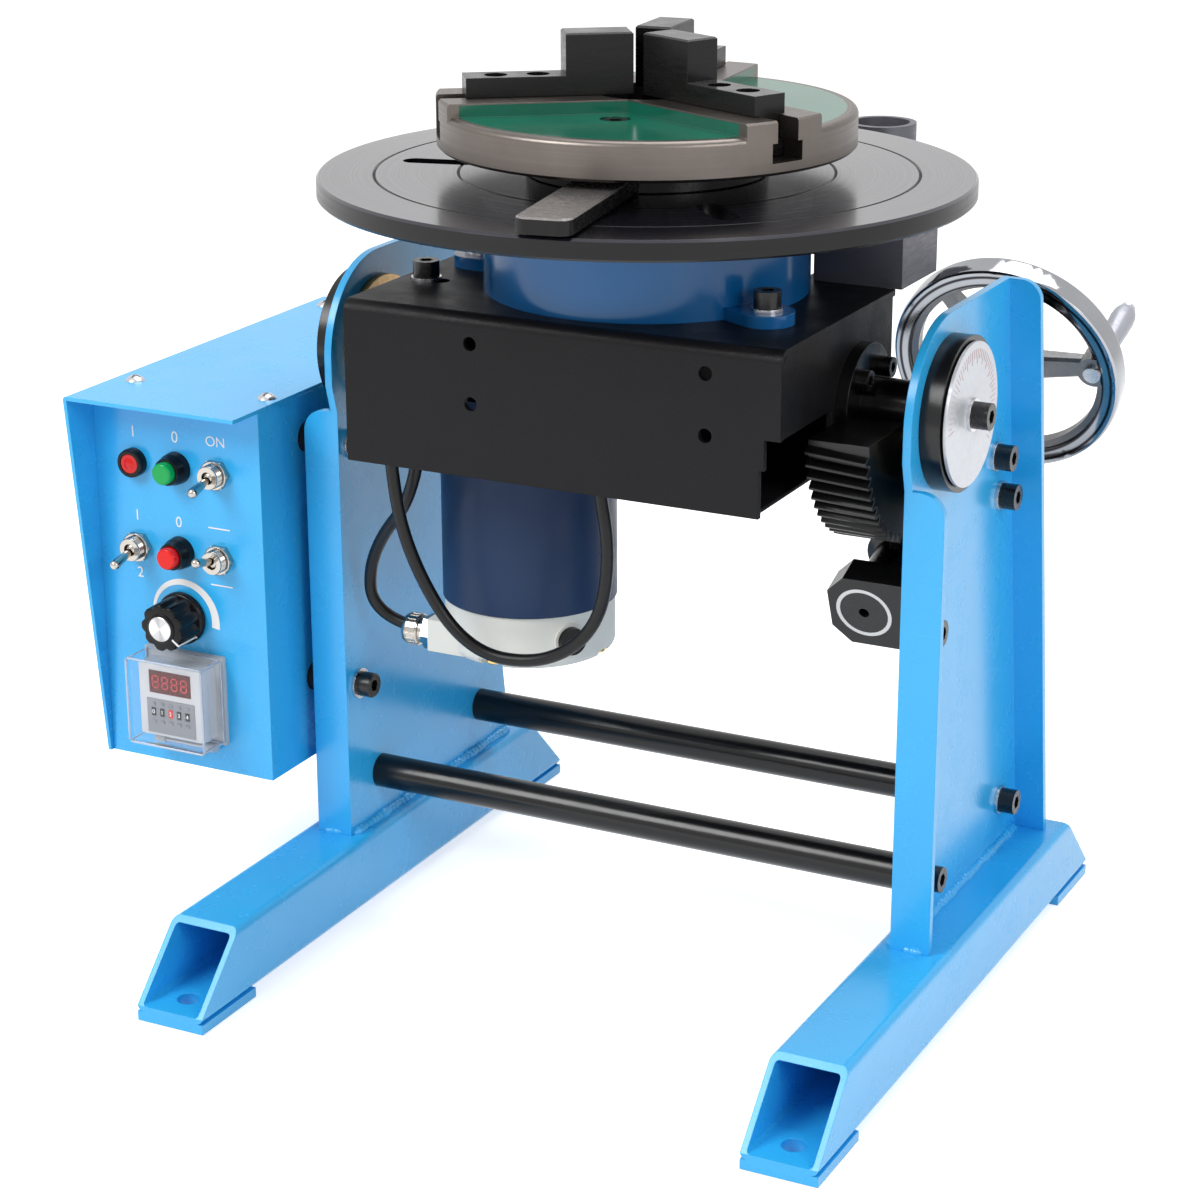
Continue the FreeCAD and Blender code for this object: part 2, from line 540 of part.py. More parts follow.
# table and three-jaw chuck
table = cyl(V(0, 0, table_low), Z, table_t, table_d / 2)
table = table.makeChamfer(1.2, [e for e in table.Edges if e.BoundBox.XLength > 2 * table_d / 3 and e.Closed])
for r in (130.0, 90.0):
    v = [V(r - 0.9, 0, table_top_z + 0.1), V(r + 0.9, 0, table_top_z + 0.1), V(r, 0, table_top_z - 1.0)]
    table = table.cut(Part.Face(Part.makePolygon(v + [v[0]])).revolve(V(0, 0, 0), Z, 360))
table = table.cut(cyl(V(0, 0, table_low - 1), Z, table_t + 2, 20.0))
for a in (74.0, 194.0, 314.0):
    table = table.cut(turn_z(slot(89, 115, 0, 6.0, table_low - 1, table_top_z + 1), a))
chuck_r = chuck_d / 2
chuck_low = table_top_z + chuck_lift
floor_z = table_top_z + chuck_floor
land_z = table_top_z + chuck_land
slot_half, neck_half, slot_h = 9.0, 6.2, 9.0
slot_low = floor_z - 12.9
seat_z = floor_z - 8.5
scroll_r = chuck_r - 20.4
screw_pcd_r = 42.0
screw_angles = [land_angle - 60 + 120 * k for k in range(3)]
screw_at = [V(screw_pcd_r * math.cos(math.radians(a)), screw_pcd_r * math.sin(math.radians(a)), 0)
            for a in screw_angles]
table = cutall(table, [cyl(V(q.x, q.y, table_low - 1), Z, table_t + 2, 4.3) for q in screw_at])
save("table", table)
spindle_tapped = cutall(spindle, [cyl(V(q.x, q.y, flange_z - 1), Z, spindle_flange_t + 2, 4 + fit) for q in screw_at])
save("spindle", spindle_tapped)

body = cyl(V(0, 0, chuck_low), Z, floor_z - chuck_low, chuck_r)
body = body.makeFillet(3.0, [e for e in body.Edges if e.Closed and e.BoundBox.ZMin > floor_z - 0.1])
body = body.makeChamfer(1.5, [e for e in body.Edges if e.Closed and e.BoundBox.ZMax < chuck_low + 0.1])
body = body.cut(cyl(V(0, 0, chuck_low - 1), Z, 6.6, scroll_r + 0.4))
body = body.fuse(cyl(V(0, 0, table_top_z), Z, 20, spindle_flange_r))
disc = cyl(V(0, 0, seat_z), Z, land_z - seat_z, chuck_r)
disc = disc.makeChamfer(1.0, [e for e in disc.Edges if e.Closed and e.BoundBox.ZMin > land_z - 0.1])
land_half = 22.5
for k in range(3):
    land = disc.common(turn_z(box(0, chuck_r + 5, -land_half, land_half, seat_z - 1, land_z + 1), land_angle + 120 * k))
    body = body.fuse(land)
for k in range(3):
    neck = box(0, chuck_r + 5, -neck_half, neck_half, slot_low + 0.4, land_z + 1)
    tee = box(0, chuck_r + 5, -slot_half, slot_half, slot_low, slot_low + slot_h)
    body = cutall(body, [turn_z(neck, land_angle + 120 * k), turn_z(tee, land_angle + 120 * k)])
body = body.cut(cyl(V(0, 0, table_top_z - 2), Z, 50, chuck_bore_r))
for q in screw_at:
    body = body.cut(cyl(V(q.x, q.y, table_top_z - 2), Z, 50, 4.3)).cut(cyl(V(q.x, q.y, seat_z), Z, 20, 7.3))
save("chuck_body", body.removeSplitter())
save("chuck_screws", [socket_bolt(V(q.x, q.y, seat_z), Z, 4.0, seat_z - flange_z - 1) for q in screw_at])

# scroll ring turned by a flat lever
lever_r = table_d / 2 + 2.5
lever_z = table_top_z + 1.2
scroll_bore = spindle_flange_r + 0.04
scroll = fuse([tube(V(0, 0, table_top_z + 0.5), Z, 13, spindle_flange_r + 8.0, scroll_bore),
               tube(V(0, 0, chuck_low + 0.2), Z, 5.0, scroll_r, scroll_bore)])
bar = box(spindle_flange_r + 4, lever_r, -13, 13, lever_z, lever_z + 7.5)
bar = bar.makeFillet(6.0, [e for e in bar.Edges if e.BoundBox.XMin > lever_r - 1 and e.BoundBox.YLength < 0.1])
bar = bar.makeChamfer(0.8, [e for e in bar.Edges if e.BoundBox.ZMin > lever_z + 7.4 and e.BoundBox.XMax > 100])
bar = turn_z(bar, -80.5)
scroll = scroll.fuse(bar).cut(cyl(V(0, 0, table_top_z), Z, 20, scroll_bore)).removeSplitter()
save("scroll_lever", scroll)

# two-step jaws that ride in the slots
jaw_in, jaw_out = 8.0, chuck_r - jaw_margin
jaw_z = land_z + 0.2
jaw_hole_r = (jaw_out - 35.0, jaw_out - 15.0)
for k in range(3):
    jw = jaw_w / 2
    high = box(jaw_in, jaw_out - jaw_step, -jw, jw, jaw_z, jaw_z + jaw_high_h - 0.2)
    low = box(jaw_in, jaw_out, -jw, jw, jaw_z, jaw_z + jaw_low_h - 0.2)
    stem = box(jaw_in + 2, jaw_out, -neck_half + 0.2, neck_half - 0.2, slot_low + slot_h - 1.6, jaw_z + 1)
    foot = box(jaw_in + 2, jaw_out, -slot_half + 0.2, slot_half - 0.2, slot_low + 0.3, slot_low + slot_h - 0.3)
    jaw = fuse([high, low, stem, foot])
    top = [e for e in jaw.Edges if e.BoundBox.ZMin > jaw_z + jaw_high_h - 0.3]
    jaw = jaw.makeChamfer(0.8, top)
    for r in jaw_hole_r:
        jaw = jaw.cut(cyl(V(r, 0, slot_low), Z, 30, 3.3)).cut(cyl(V(r, 0, jaw_z + 5.5), Z, 10, 5.5))
    save("jaw_%d" % (k + 1), turn_z(jaw, land_angle + 120 * k))

# gear motor hung under the box
head_low = box_top - sheet_t - head_h
motor_low = head_low - motor_len
cap_low = motor_low - cap_len
head = box(motor_x - 45, motor_x + 45, -45, 45, head_low, box_top - sheet_t)
head = head.makeFillet(5.0, [e for e in head.Edges if e.BoundBox.ZLength > 50])
head = head.fuse(cyl(V(shaft_x, 0, box_top - sheet_t - 1), Z, sheet_t + 1, pilot_r))
head = head.cut(cyl(V(shaft_x, 0, box_top - 24), Z, 40, pinion_shaft_r + fit))
head = cutall(head, [cyl(V(q.x, q.y, box_top - sheet_t - 14), Z, 15, 4 + fit) for q in motor_bolts])
save("gearhead", head)
motor = cyl(V(motor_x, 0, motor_low), Z, motor_len, motor_r)
save("motor_body", motor)
gland_y, gland_z = -28.0, cap_low + 8.0
gland_x = motor_x - 39.5
gland_half = 8.5
cap = cyl(V(motor_x, 0, cap_low), Z, cap_len, cap_r)
cap = cap.makeFillet(5.0, [e for e in cap.Edges if e.Closed and e.BoundBox.ZMax < cap_low + 0.1])
cap = cap.fuse(box(gland_x, motor_x - 14, gland_y - gland_half - 1, gland_y + gland_half + 1, cap_low + 1, gland_z + 10))
for a in (-90.0, 0.0, 90.0, 180.0):
    q = V(motor_x, 0, cap_low - 1) + V(math.cos(math.radians(a)), math.sin(math.radians(a)), 0) * (cap_r - 5.0)
    d = V(math.cos(math.radians(a)), math.sin(math.radians(a)), 0)
    notch = fuse([cyl(q, Z, 5.0, 6.5), cyl(q + d * 9, Z, 5.0, 8.5)])
    cap = cap.cut(notch)
brush = []
for a in (-35.0, 145.0):
    d = V(math.cos(math.radians(a)), math.sin(math.radians(a)), 0)
    q = V(motor_x, 0, cap_low + 15) + d * (cap_r + 0.5)
    cap = cap.fuse(cyl(q - d * 6, d, 6.5, 8.5)).cut(cyl(q - d * 9, d, 20, 4 + fit))
    brush.append(cyl(q + d * 0.5, d, 3.5, 7.0).fuse(cyl(q - d * 8, d, 8.5, 4.0)).removeSplitter())
cap = cap.cut(cyl(V(gland_x - 0.5, gland_y, gland_z), X, 10, 5 + fit)).removeSplitter()
save("motor_cap", cap)
save("brush_caps", brush)

# cable gland: hexagon, neck and a ribbed dome nut
left = X * -1
gland_at = V(gland_x, gland_y, gland_z)
dome_line = [(0, 0), (7.6, 0), (8.3, 0.8), (8.3, 6.5), (7.6, 8.4), (6.0, 9.6), (0, 9.6)]
dome = Part.Face(Part.makePolygon([V(u, 0, w) for u, w in dome_line + [dome_line[0]]])).revolve(V(0, 0, 0), Z, 360)
dome = cutall(dome, [turn_z(box(7.9, 9, -0.9, 0.9, 1.2, 6.2), 20 * k) for k in range(18)])
dome.rotate(V(0, 0, 0), Y, -90)
dome.translate(gland_at + left * 8)
gland = fuse([hex_prism(gland_at, left, 5, 2 * gland_half - 1), cyl(gland_at + left * 4, left, 6, 6.8), dome,
              cyl(gland_at + X * -0.5, X, 8, 5.0)])
gland = gland.cut(cyl(gland_at + left * 20, X, 22.5, cable_r + 0.05))
save("cable_gland", gland)

seats = [V(q.x, q.y, box_top) for q in motor_bolts]
tw = [washer(q, Z, 4.3, 7.5, 1.6) for q in seats] + [washer(q + Z * 6, Z, 4.3, 7.5, 1.6) for q in tab_bolts]
tb = [socket_bolt(q + Z * 1.6, Z, 4.0, 14.0) for q in seats]
tb += [socket_bolt(q + Z * 7.6, Z, 4.0, 10.4) for q in tab_bolts]
tw += [washer(V(dial_x + dial_t, 0, tilt_axis_z), X, 4.3, 8.0, 1.6), washer(V(-dial_x, 0, tilt_axis_z), X * -1, 4.3, 22.0, 3)]
tb += [socket_bolt(V(dial_x + dial_t + 1.6, 0, tilt_axis_z), X, 4.0, 16.0)]
tb += [socket_bolt(V(-dial_x - 3, 0, tilt_axis_z), X * -1, 4.0, 16.0)]
save("tilt_washers", tw)
save("tilt_bolts", tb + screws)

# cables: straight runs joined by tangent arcs
terminal_z = 302.0


def cord(name, route, r):
    pts = [V(*q) for q in route]
    runs = [(pts[i + 1] - pts[i]).Length for i in range(len(pts) - 1)]
    edges, last, radii = [], pts[0], []
    for i in range(1, len(pts) - 1):
        d0, d1 = (pts[i] - pts[i - 1]), (pts[i + 1] - pts[i])
        d0.normalize()
        d1.normalize()
        half = d0.getAngle(d1) / 2
        cut = 0.45 * min(runs[i - 1], runs[i])
        radius = cut / math.tan(half)
        radii.append(round(radius, 1))
        a, b = pts[i] - d0 * cut, pts[i] + d1 * cut
        inward = d1 - d0
        inward.normalize()
        mid = pts[i] + inward * (radius / math.cos(half) - radius)
        edges += [Part.LineSegment(last, a).toShape(), Part.Arc(a, mid, b).toShape()]
        last = b
    edges.append(Part.LineSegment(last, pts[-1]).toShape())
    path = Part.Wire(edges)
    start = pts[1] - pts[0]
    ring = Part.Wire(Part.makeCircle(r, pts[0], start))
    body = path.makePipeShell([ring], True, True)
    print(name, "radii", radii, "length", round(path.Length, 1), "ratio",
          round(body.Volume / (math.pi * r * r * path.Length), 4))
    save(name, body)


motor_route = [(-103, gland_y, gland_z), (-143, gland_y, gland_z), (-139, -38, 201), (-91, -62, 250),
               (-91, -62, terminal_z)]
cord("motor_cable", motor_route, cable_r)
supply_route = [(4, -62, terminal_z), (4, -62, 268), (11, -61, 228), (3, -60, 188), (-28, -60, 165),
                (-70, -62, 167), (-96, -70, 214), (-102, -76, 262), (-102, -76, terminal_z)]
cord("supply_cable", supply_route, cable_r)
terminal = box(box_left + 8, box_left + 130, box_front + sheet_t + 4, -49, terminal_z, box_top - sheet_t)
terminal = terminal.makeFillet(3.0, [e for e in terminal.Edges if e.BoundBox.ZLength > 30])
save("terminal_box", terminal)

# torch holder behind the table
torch_c = V(50, table_d / 2 + 18.5, 0)
arm_z = box_top + 6.0
block = box(68, 114, box_back + 0.5, 92, box_top, table_low - 7)
block = block.makeChamfer(1.0, [e for e in block.Edges if e.BoundBox.ZMin > table_low - 7.1])
save("torch_block", block)
arm = xy([(70, 92), (92, 92), (torch_c.x + 11, torch_c.y - 11), (torch_c.x - 11, torch_c.y - 11)], arm_z, 24)
sleeve = cyl(V(torch_c.x, torch_c.y, box_top), Z, torch_len, torch_r)
holder = fuse([arm, sleeve]).cut(cyl(V(torch_c.x, torch_c.y, box_top - 1), Z, torch_len + 2, torch_bore_r))
save("torch_tube", holder)

# control box beside the left plate
t2 = 2.0
shell = box(panel_left, panel_right, panel_y, panel_back, panel_low, panel_top)
shell = shell.cut(box(panel_left - 1, panel_right - t2, panel_y + t2, panel_back - t2, panel_low + t2, panel_top + 1))
shell = shell.cut(box(panel_left - 1, panel_left, panel_y - 1, panel_back + 1, panel_low - 1, panel_top + 1))
lips = [box(panel_left, panel_right, panel_y, panel_y + 30, panel_top - t2, panel_top),
        box(panel_left, panel_right, panel_back - 30, panel_back, panel_top - t2, panel_top)]
chassis = fuse([shell] + lips)
cover_pts = [(panel_y - 22, panel_top + t2), (panel_back, panel_top + t2), (panel_back, panel_low),
             (panel_y - 2, panel_low), (panel_y - 22, panel_top)]
side = yz(cover_pts, panel_left - t2, t2)
roof = box(panel_left - t2, panel_right, panel_y - 22, panel_back, panel_top, panel_top + t2)
cover = fuse([side, roof])
edge = [e for e in cover.Edges if e.BoundBox.YLength > 200 and e.BoundBox.ZMin > panel_top + 1 and e.BoundBox.XMax < panel_left - 1]
cover = cover.makeFillet(1.8, edge)
tops = [V(a, b, panel_top + t2) for a in (panel_right - 8, panel_left + 12) for b in (panel_y + 21, panel_back - 18)]
cover_screws = []
for q in tops:
    cover = cover.cut(cyl(q - Z * 5, Z, 8, 2.2))
    chassis = chassis.cut(cyl(q - Z * 8, Z, 9, 2.0 + fit))
    dome = Part.makeSphere(6.0, q + Z * -3.2).common(box(q.x - 8, q.x + 8, q.y - 8, q.y + 8, q.z, q.z + 9))
    cross = [box(q.x - 3, q.x + 3, q.y - 0.5, q.y + 0.5, q.z + 1.2, q.z + 9),
             box(q.x - 0.5, q.x + 0.5, q.y - 3, q.y + 3, q.z + 1.2, q.z + 9)]
    cover_screws.append(cutall(dome.fuse(cyl(q - Z * 7, Z, 7.5, 2.0)).removeSplitter(), cross))
save("cover_screws", cover_screws)
save("control_cover", cover)
spots = [V(0, y, z) for y in (-29.5, 70.0) for z in (255.0, 125.0)]
save("standoffs", [cyl(V(panel_right, q.y, q.z), X, -web_out - panel_right, 8.0) for q in spots])

cols = (panel_left + 24.0, panel_left + 49.5, panel_left + 74.0)
rows = (243.0, 198.0)
IN, OUT = Y, Y * -1
lamp_p = V(cols[0], panel_y, rows[0])
lamp = fuse([cyl(lamp_p, OUT, 3, 7.5), cyl(lamp_p, IN, 24, 6.0)]).cut(cyl(lamp_p + OUT * 4, IN, 12, 5.0))
lens = fuse([cyl(lamp_p + IN * 5, OUT, 10, 4.96), Part.makeSphere(6.6, lamp_p + IN * 0.8).common(
    Part.makeCylinder(4.96, 10, lamp_p + OUT * 4.9, OUT))])
save("lamp_lens", lens)
holes = [cyl(lamp_p + OUT, IN, t2 + 2, 6.1)]
bezels = [lamp]
for name, q in (("reset_button", V(cols[1], panel_y, rows[0])), ("lock_button", V(cols[1], panel_y, rows[1]))):
    bez = fuse([cyl(q, OUT, 4, 8.0), cyl(q, IN, 26, 6.8)])
    bez = bez.cut(cyl(q + OUT * 5, IN, 25, 5.75)).cut(cyl(q + IN * 6, IN, 16, 6.2)).cut(cyl(q + IN * 20, IN, 7, 2.6))
    bezels.append(bez)
    cap = fuse([cyl(q + OUT * 14, IN, 24, 5.7), cyl(q + IN * 7, IN, 2.5, 6.15), cyl(q + IN * 9, IN, 15, 2.5)])
    cap = cap.makeFillet(1.5, [e for e in cap.Edges if e.Closed and e.BoundBox.YMax < q.y - 13.9])
    save(name, cap)
    holes.append(cyl(q + OUT, IN, t2 + 2, 6.85))
save("control_bezels", bezels)
tog_bodies, tog_nuts = [], []
switches = (("power_toggle", cols[2], rows[0], -1), ("mode_toggle", cols[0], rows[1], -1),
            ("direction_toggle", cols[2], rows[1], 1))
for name, a, b, way in switches:
    q = V(a, panel_y, b)
    bod = fuse([box(a - 6.5, a + 6.5, panel_y + t2, panel_y + 26, b - 12, b + 12), cyl(q + IN * 4, OUT, 13, 5.8)])
    bod = bod.cut(Part.makeSphere(4.3, q + OUT * 5)).cut(cyl(q + OUT * 12, IN, 7, 3.2))
    tog_bodies.append(bod)
    nut = hex_prism(q, OUT, 3, 14.0).cut(cyl(q + OUT * 4, IN, 5, 5.84))
    tog_nuts.append(nut)
    stick = Part.makeCone(1.5, 2.6, 17.0, q + OUT * 5, OUT)
    stick = fuse([stick, Part.makeSphere(2.6, q + OUT * 22), Part.makeSphere(3.9, q + OUT * 5)])
    stick.rotate(q + OUT * 5, X, -14 * way)
    save(name, stick)
    holes.append(cyl(q + OUT, IN, t2 + 2, 5.9))
save("toggle_bodies", tog_bodies)
save("toggle_nuts", tog_nuts)

knob_p = V(cols[1], panel_y, knob_z)
pot = fuse([cyl(knob_p + IN * t2, IN, 18, 12.0), cyl(knob_p + IN * 3, OUT, 6.5, 4.8)])
pot = pot.cut(cyl(knob_p + OUT * 5, IN, 22, 3.05))
save("speed_pot", pot)
knob_r, flutes = 10.2, 10
lobed = cyl(knob_p + OUT * 3, OUT, 17.5, knob_r)
lobed = lobed.makeChamfer(1.0, [e for e in lobed.Edges if e.Closed and e.BoundBox.YMax < panel_y - 20])
for k in range(flutes):
    a = 2 * math.pi * (k + 0.5) / flutes
    q = knob_p + V(math.cos(a), 0, math.sin(a)) * (knob_r + 2.1)
    lobed = lobed.cut(cyl(q + OUT * 4.5, OUT, 20, 3.1))
knob = fuse([cyl(knob_p + OUT * 1, OUT, 4, 14.0), lobed, cyl(knob_p + OUT * 19, OUT, 3, 7.5)])
knob = knob.cut(cyl(knob_p, OUT, 4.2, 5.3)).fuse(cyl(knob_p + OUT * 6, IN, 22, 3.0)).removeSplitter()
save("speed_knob", knob)
holes.append(cyl(knob_p + OUT, IN, t2 + 2, 4.9))

tx0 = panel_left + timer_in
tx1, tz0, tz1 = tx0 + timer_size, timer_low, timer_low + timer_size
timer = fuse([box(tx0, tx1, panel_y - 3, panel_y, tz0, tz1), box(tx0 + 1.5, tx1 - 1.5, panel_y, panel_y + 62, tz0 + 1.5, tz1 - 1.5),
              box(tx0 + 5, tx1 - 5, panel_y - 10, panel_y - 2, tz0 + 5, tz1 - 5)])
hy, hz = panel_y - 5.0, tz0 - 2.2
for a in (tx0 + 6, tx1 - 12):
    ear = fuse([cyl(V(a, hy, hz), X, 6, 2.0),
                box(a, a + 6, hy, panel_y, hz - 2, hz + 2),
                box(a, a + 6, panel_y - 3, panel_y, hz, tz0 + 1)])
    timer = timer.fuse(ear)
timer = timer.fuse(cyl(V(tx0 + 8, hy, hz), X, tx1 - tx0 - 16, 0.9)).removeSplitter()
save("timer_body", timer)
lid = box(tx0 + 0.6, tx1 - 0.6, panel_y - 22, panel_y - 3.2, tz0 + 0.6, tz1 - 0.6)
lid = lid.makeFillet(2.0, [e for e in lid.Edges if e.BoundBox.YMin < panel_y - 21.9 or e.BoundBox.YLength > 15])
lid = lid.cut(box(tx0 + 2.4, tx1 - 2.4, panel_y - 20.2, panel_y, tz0 + 2.4, tz1 - 2.4))
knuckle = fuse([cyl(V(tx0 + 13, hy, hz), X, tx1 - tx0 - 26, 2.0), box(tx0 + 13, tx1 - 13, hy - 2, hy, hz, tz0 + 2.2)])
lid = fuse([lid, knuckle]).cut(cyl(V(tx0, hy, hz), X, tx1 - tx0, 1.0))
save("timer_cover", lid)
holes.append(box(tx0 + 1.4, tx1 - 1.4, panel_y - 1, panel_y + t2 + 1, tz0 + 1.4, tz1 - 1.4))
save("control_chassis", cutall(chassis, holes))
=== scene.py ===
import bpy
import bmesh
import json
import math
from mathutils import Matrix, Vector


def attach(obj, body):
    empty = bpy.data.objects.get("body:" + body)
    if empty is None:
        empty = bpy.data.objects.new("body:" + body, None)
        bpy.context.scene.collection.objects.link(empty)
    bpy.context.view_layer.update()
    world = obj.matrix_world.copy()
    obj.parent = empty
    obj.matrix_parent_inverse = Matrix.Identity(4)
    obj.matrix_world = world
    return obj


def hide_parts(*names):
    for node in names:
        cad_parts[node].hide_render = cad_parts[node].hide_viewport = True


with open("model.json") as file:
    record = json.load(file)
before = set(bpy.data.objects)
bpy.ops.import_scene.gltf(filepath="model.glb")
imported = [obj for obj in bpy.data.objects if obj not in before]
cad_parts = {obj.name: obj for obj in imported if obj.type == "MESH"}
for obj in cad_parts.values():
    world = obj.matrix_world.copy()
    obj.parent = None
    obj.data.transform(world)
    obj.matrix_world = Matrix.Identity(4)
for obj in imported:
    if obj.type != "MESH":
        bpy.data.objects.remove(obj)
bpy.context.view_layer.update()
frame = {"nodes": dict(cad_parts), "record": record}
print("frame loaded:", len(frame["nodes"]), "nodes")

axisShift = 10.0    # mm, the table axis lies this far behind the origin
tiltAxisZ = 302.0    # mm above the floor
wormLean = math.radians(21.5)
wormX, wormDrop = 130.0, 75.0    # mm, where the worm's axis passes below the tilt axis
wormAlong = Vector((0, math.cos(wormLean), math.sin(wormLean)))
wormUp = Vector((0, -math.sin(wormLean), math.cos(wormLean)))


def at(x, y, z):
    return Vector((x, y + axisShift, z)) / 1000


wormFoot = at(wormX, 0, tiltAxisZ) - wormUp * (wormDrop / 1000)
wormPlace = Matrix.Translation(wormFoot) @ Matrix((wormUp, (1, 0, 0), wormAlong)).transposed().to_4x4()

# materials


def newTree(name):
    material = bpy.data.materials.new(name)
    material.use_nodes = True
    tree = material.node_tree
    tree.nodes.clear()
    shader = tree.nodes.new("ShaderNodeBsdfPrincipled")
    output = tree.nodes.new("ShaderNodeOutputMaterial")
    tree.links.new(shader.outputs[0], output.inputs[0])
    return material, tree, shader


def put(tree, socket, value):
    if isinstance(value, bpy.types.NodeSocket):
        tree.links.new(value, socket)
    elif isinstance(value, (tuple, list)) and len(value) == 3 and socket.type == "RGBA":
        socket.default_value = (*value, 1)
    else:
        socket.default_value = value


def calc(tree, operation, first, second=0.0, third=0.0):
    node = tree.nodes.new("ShaderNodeMath")
    node.operation = operation
    for socket, value in zip(node.inputs, (first, second, third)):
        put(tree, socket, value)
    return node.outputs[0]


def place(tree, offset=(0, 0, 0), turn=(0, 0, 0), scale=(1, 1, 1)):
    coords = tree.nodes.new("ShaderNodeTexCoord")
    mapping = tree.nodes.new("ShaderNodeMapping")
    mapping.inputs["Location"].default_value = offset
    mapping.inputs["Rotation"].default_value = turn
    mapping.inputs["Scale"].default_value = scale
    tree.links.new(coords.outputs["Object"], mapping.inputs[0])
    return mapping.outputs[0]


def noise(tree, scale, detail=3.0, vector=None):
    node = tree.nodes.new("ShaderNodeTexNoise")
    tree.links.new(vector or place(tree), node.inputs["Vector"])
    node.inputs["Scale"].default_value = scale
    node.inputs["Detail"].default_value = detail
    node.inputs["Roughness"].default_value = 0.55
    return node.outputs["Fac"]


def remap(tree, value, low, high, outLow, outHigh):
    node = tree.nodes.new("ShaderNodeMapRange")
    for socket, item in zip(node.inputs, (value, low, high, outLow, outHigh)):
        put(tree, socket, item)
    return node.outputs[0]


def blendColour(tree, factor, first, second):
    node = tree.nodes.new("ShaderNodeMix")
    node.data_type = "RGBA"
    put(tree, node.inputs[0], factor)
    put(tree, node.inputs[6], first)
    put(tree, node.inputs[7], second)
    return node.outputs[2]


def shade(colour, amount):
    return tuple(min(1.0, channel * amount) for channel in colour)


def cloudTone(tree, cloud, colour, spread):    # the colour, a little darker and lighter in clouds
    return blendColour(tree, cloud, shade(colour, 1 - spread), shade(colour, 1 + spread))


def roughen(tree, shader, pattern, roughness, least, most):
    value = remap(tree, pattern, 0.3, 0.7, roughness * least, roughness * most)
    tree.links.new(value, shader.inputs["Roughness"])


def axisDistance(tree, split):    # distance from the Z axis of the split vector
    squares = [calc(tree, "POWER", split.outputs[k], 2) for k in (0, 1)]
    return calc(tree, "SQRT", calc(tree, "ADD", *squares))


def roundedNormal(tree, radius, samples):
    rounding = tree.nodes.new("ShaderNodeBevel")
    rounding.samples = samples
    rounding.inputs["Radius"].default_value = radius
    return rounding.outputs[0]


def addBump(tree, shader, height, strength, distance, edge=0.0):
    bump = tree.nodes.new("ShaderNodeBump")
    bump.inputs["Strength"].default_value = strength
    bump.inputs["Distance"].default_value = distance
    tree.links.new(height, bump.inputs["Height"])
    if edge:
        tree.links.new(roundedNormal(tree, edge, 4), bump.inputs["Normal"])
    tree.links.new(bump.outputs[0], shader.inputs["Normal"])


def upwards(tree):    # 1 on faces that look up at rest, 0 on the others
    coords = tree.nodes.new("ShaderNodeTexCoord")
    split = tree.nodes.new("ShaderNodeSeparateXYZ")
    tree.links.new(coords.outputs["Normal"], split.inputs[0])
    return calc(tree, "GREATER_THAN", split.outputs[2], 0.7)


paintEdge = 0.0006    # m, how round painted edges look


def paint(name, colour, roughness, peel=0.05, peelScale=260.0, coat=0.0, shine=0.5):
    material, tree, shader = newTree(name)
    tree.links.new(cloudTone(tree, noise(tree, 14.0, 4.0), colour, 0.05), shader.inputs["Base Color"])
    roughen(tree, shader, noise(tree, 55.0, 3.0), roughness, 0.85, 1.15)
    shader.inputs["Specular IOR Level"].default_value = shine
    shader.inputs["Coat Weight"].default_value = coat
    shader.inputs["Coat Roughness"].default_value = 0.14
    if peel:
        addBump(tree, shader, noise(tree, peelScale, 2.0), peel, 0.0006, paintEdge)
    else:
        tree.links.new(roundedNormal(tree, paintEdge, 8), shader.inputs["Normal"])
    return material


def metal(name, colour, roughness, scratch=0.1, scratchScale=(400, 400, 400), edge=0.0003, spread=0.12,
          metallic=1.0, top=None, shine=0.5):    # top is the colour of faces that look up
    material, tree, shader = newTree(name)
    shader.inputs["Specular IOR Level"].default_value = shine
    shader.inputs["Metallic"].default_value = metallic
    streak = noise(tree, 1.0, 4.0, place(tree, scale=scratchScale))
    cloud = noise(tree, 30.0, 4.0)
    tone = cloudTone(tree, cloud, colour, spread)
    if top:
        tone = blendColour(tree, upwards(tree), tone, cloudTone(tree, cloud, top, spread))
    tree.links.new(tone, shader.inputs["Base Color"])
    roughen(tree, shader, streak, roughness, 0.75, 1.3)
    addBump(tree, shader, streak, scratch, 0.0002, edge)
    return material


def plastic(name, colour, roughness, grain=0.02, transmission=0.0, emission=0.0, shine=0.5):
    material, tree, shader = newTree(name)
    shader.inputs["Specular IOR Level"].default_value = shine
    tree.links.new(cloudTone(tree, noise(tree, 40.0, 3.0), colour, 0.05), shader.inputs["Base Color"])
    roughen(tree, shader, noise(tree, 300.0, 2.0), roughness, 0.85, 1.15)
    shader.inputs["Transmission Weight"].default_value = transmission
    if emission:
        shader.inputs["Emission Color"].default_value = (*colour, 1)
        shader.inputs["Emission Strength"].default_value = emission
    addBump(tree, shader, noise(tree, 900.0, 2.0), grain, 0.0002)
    return material


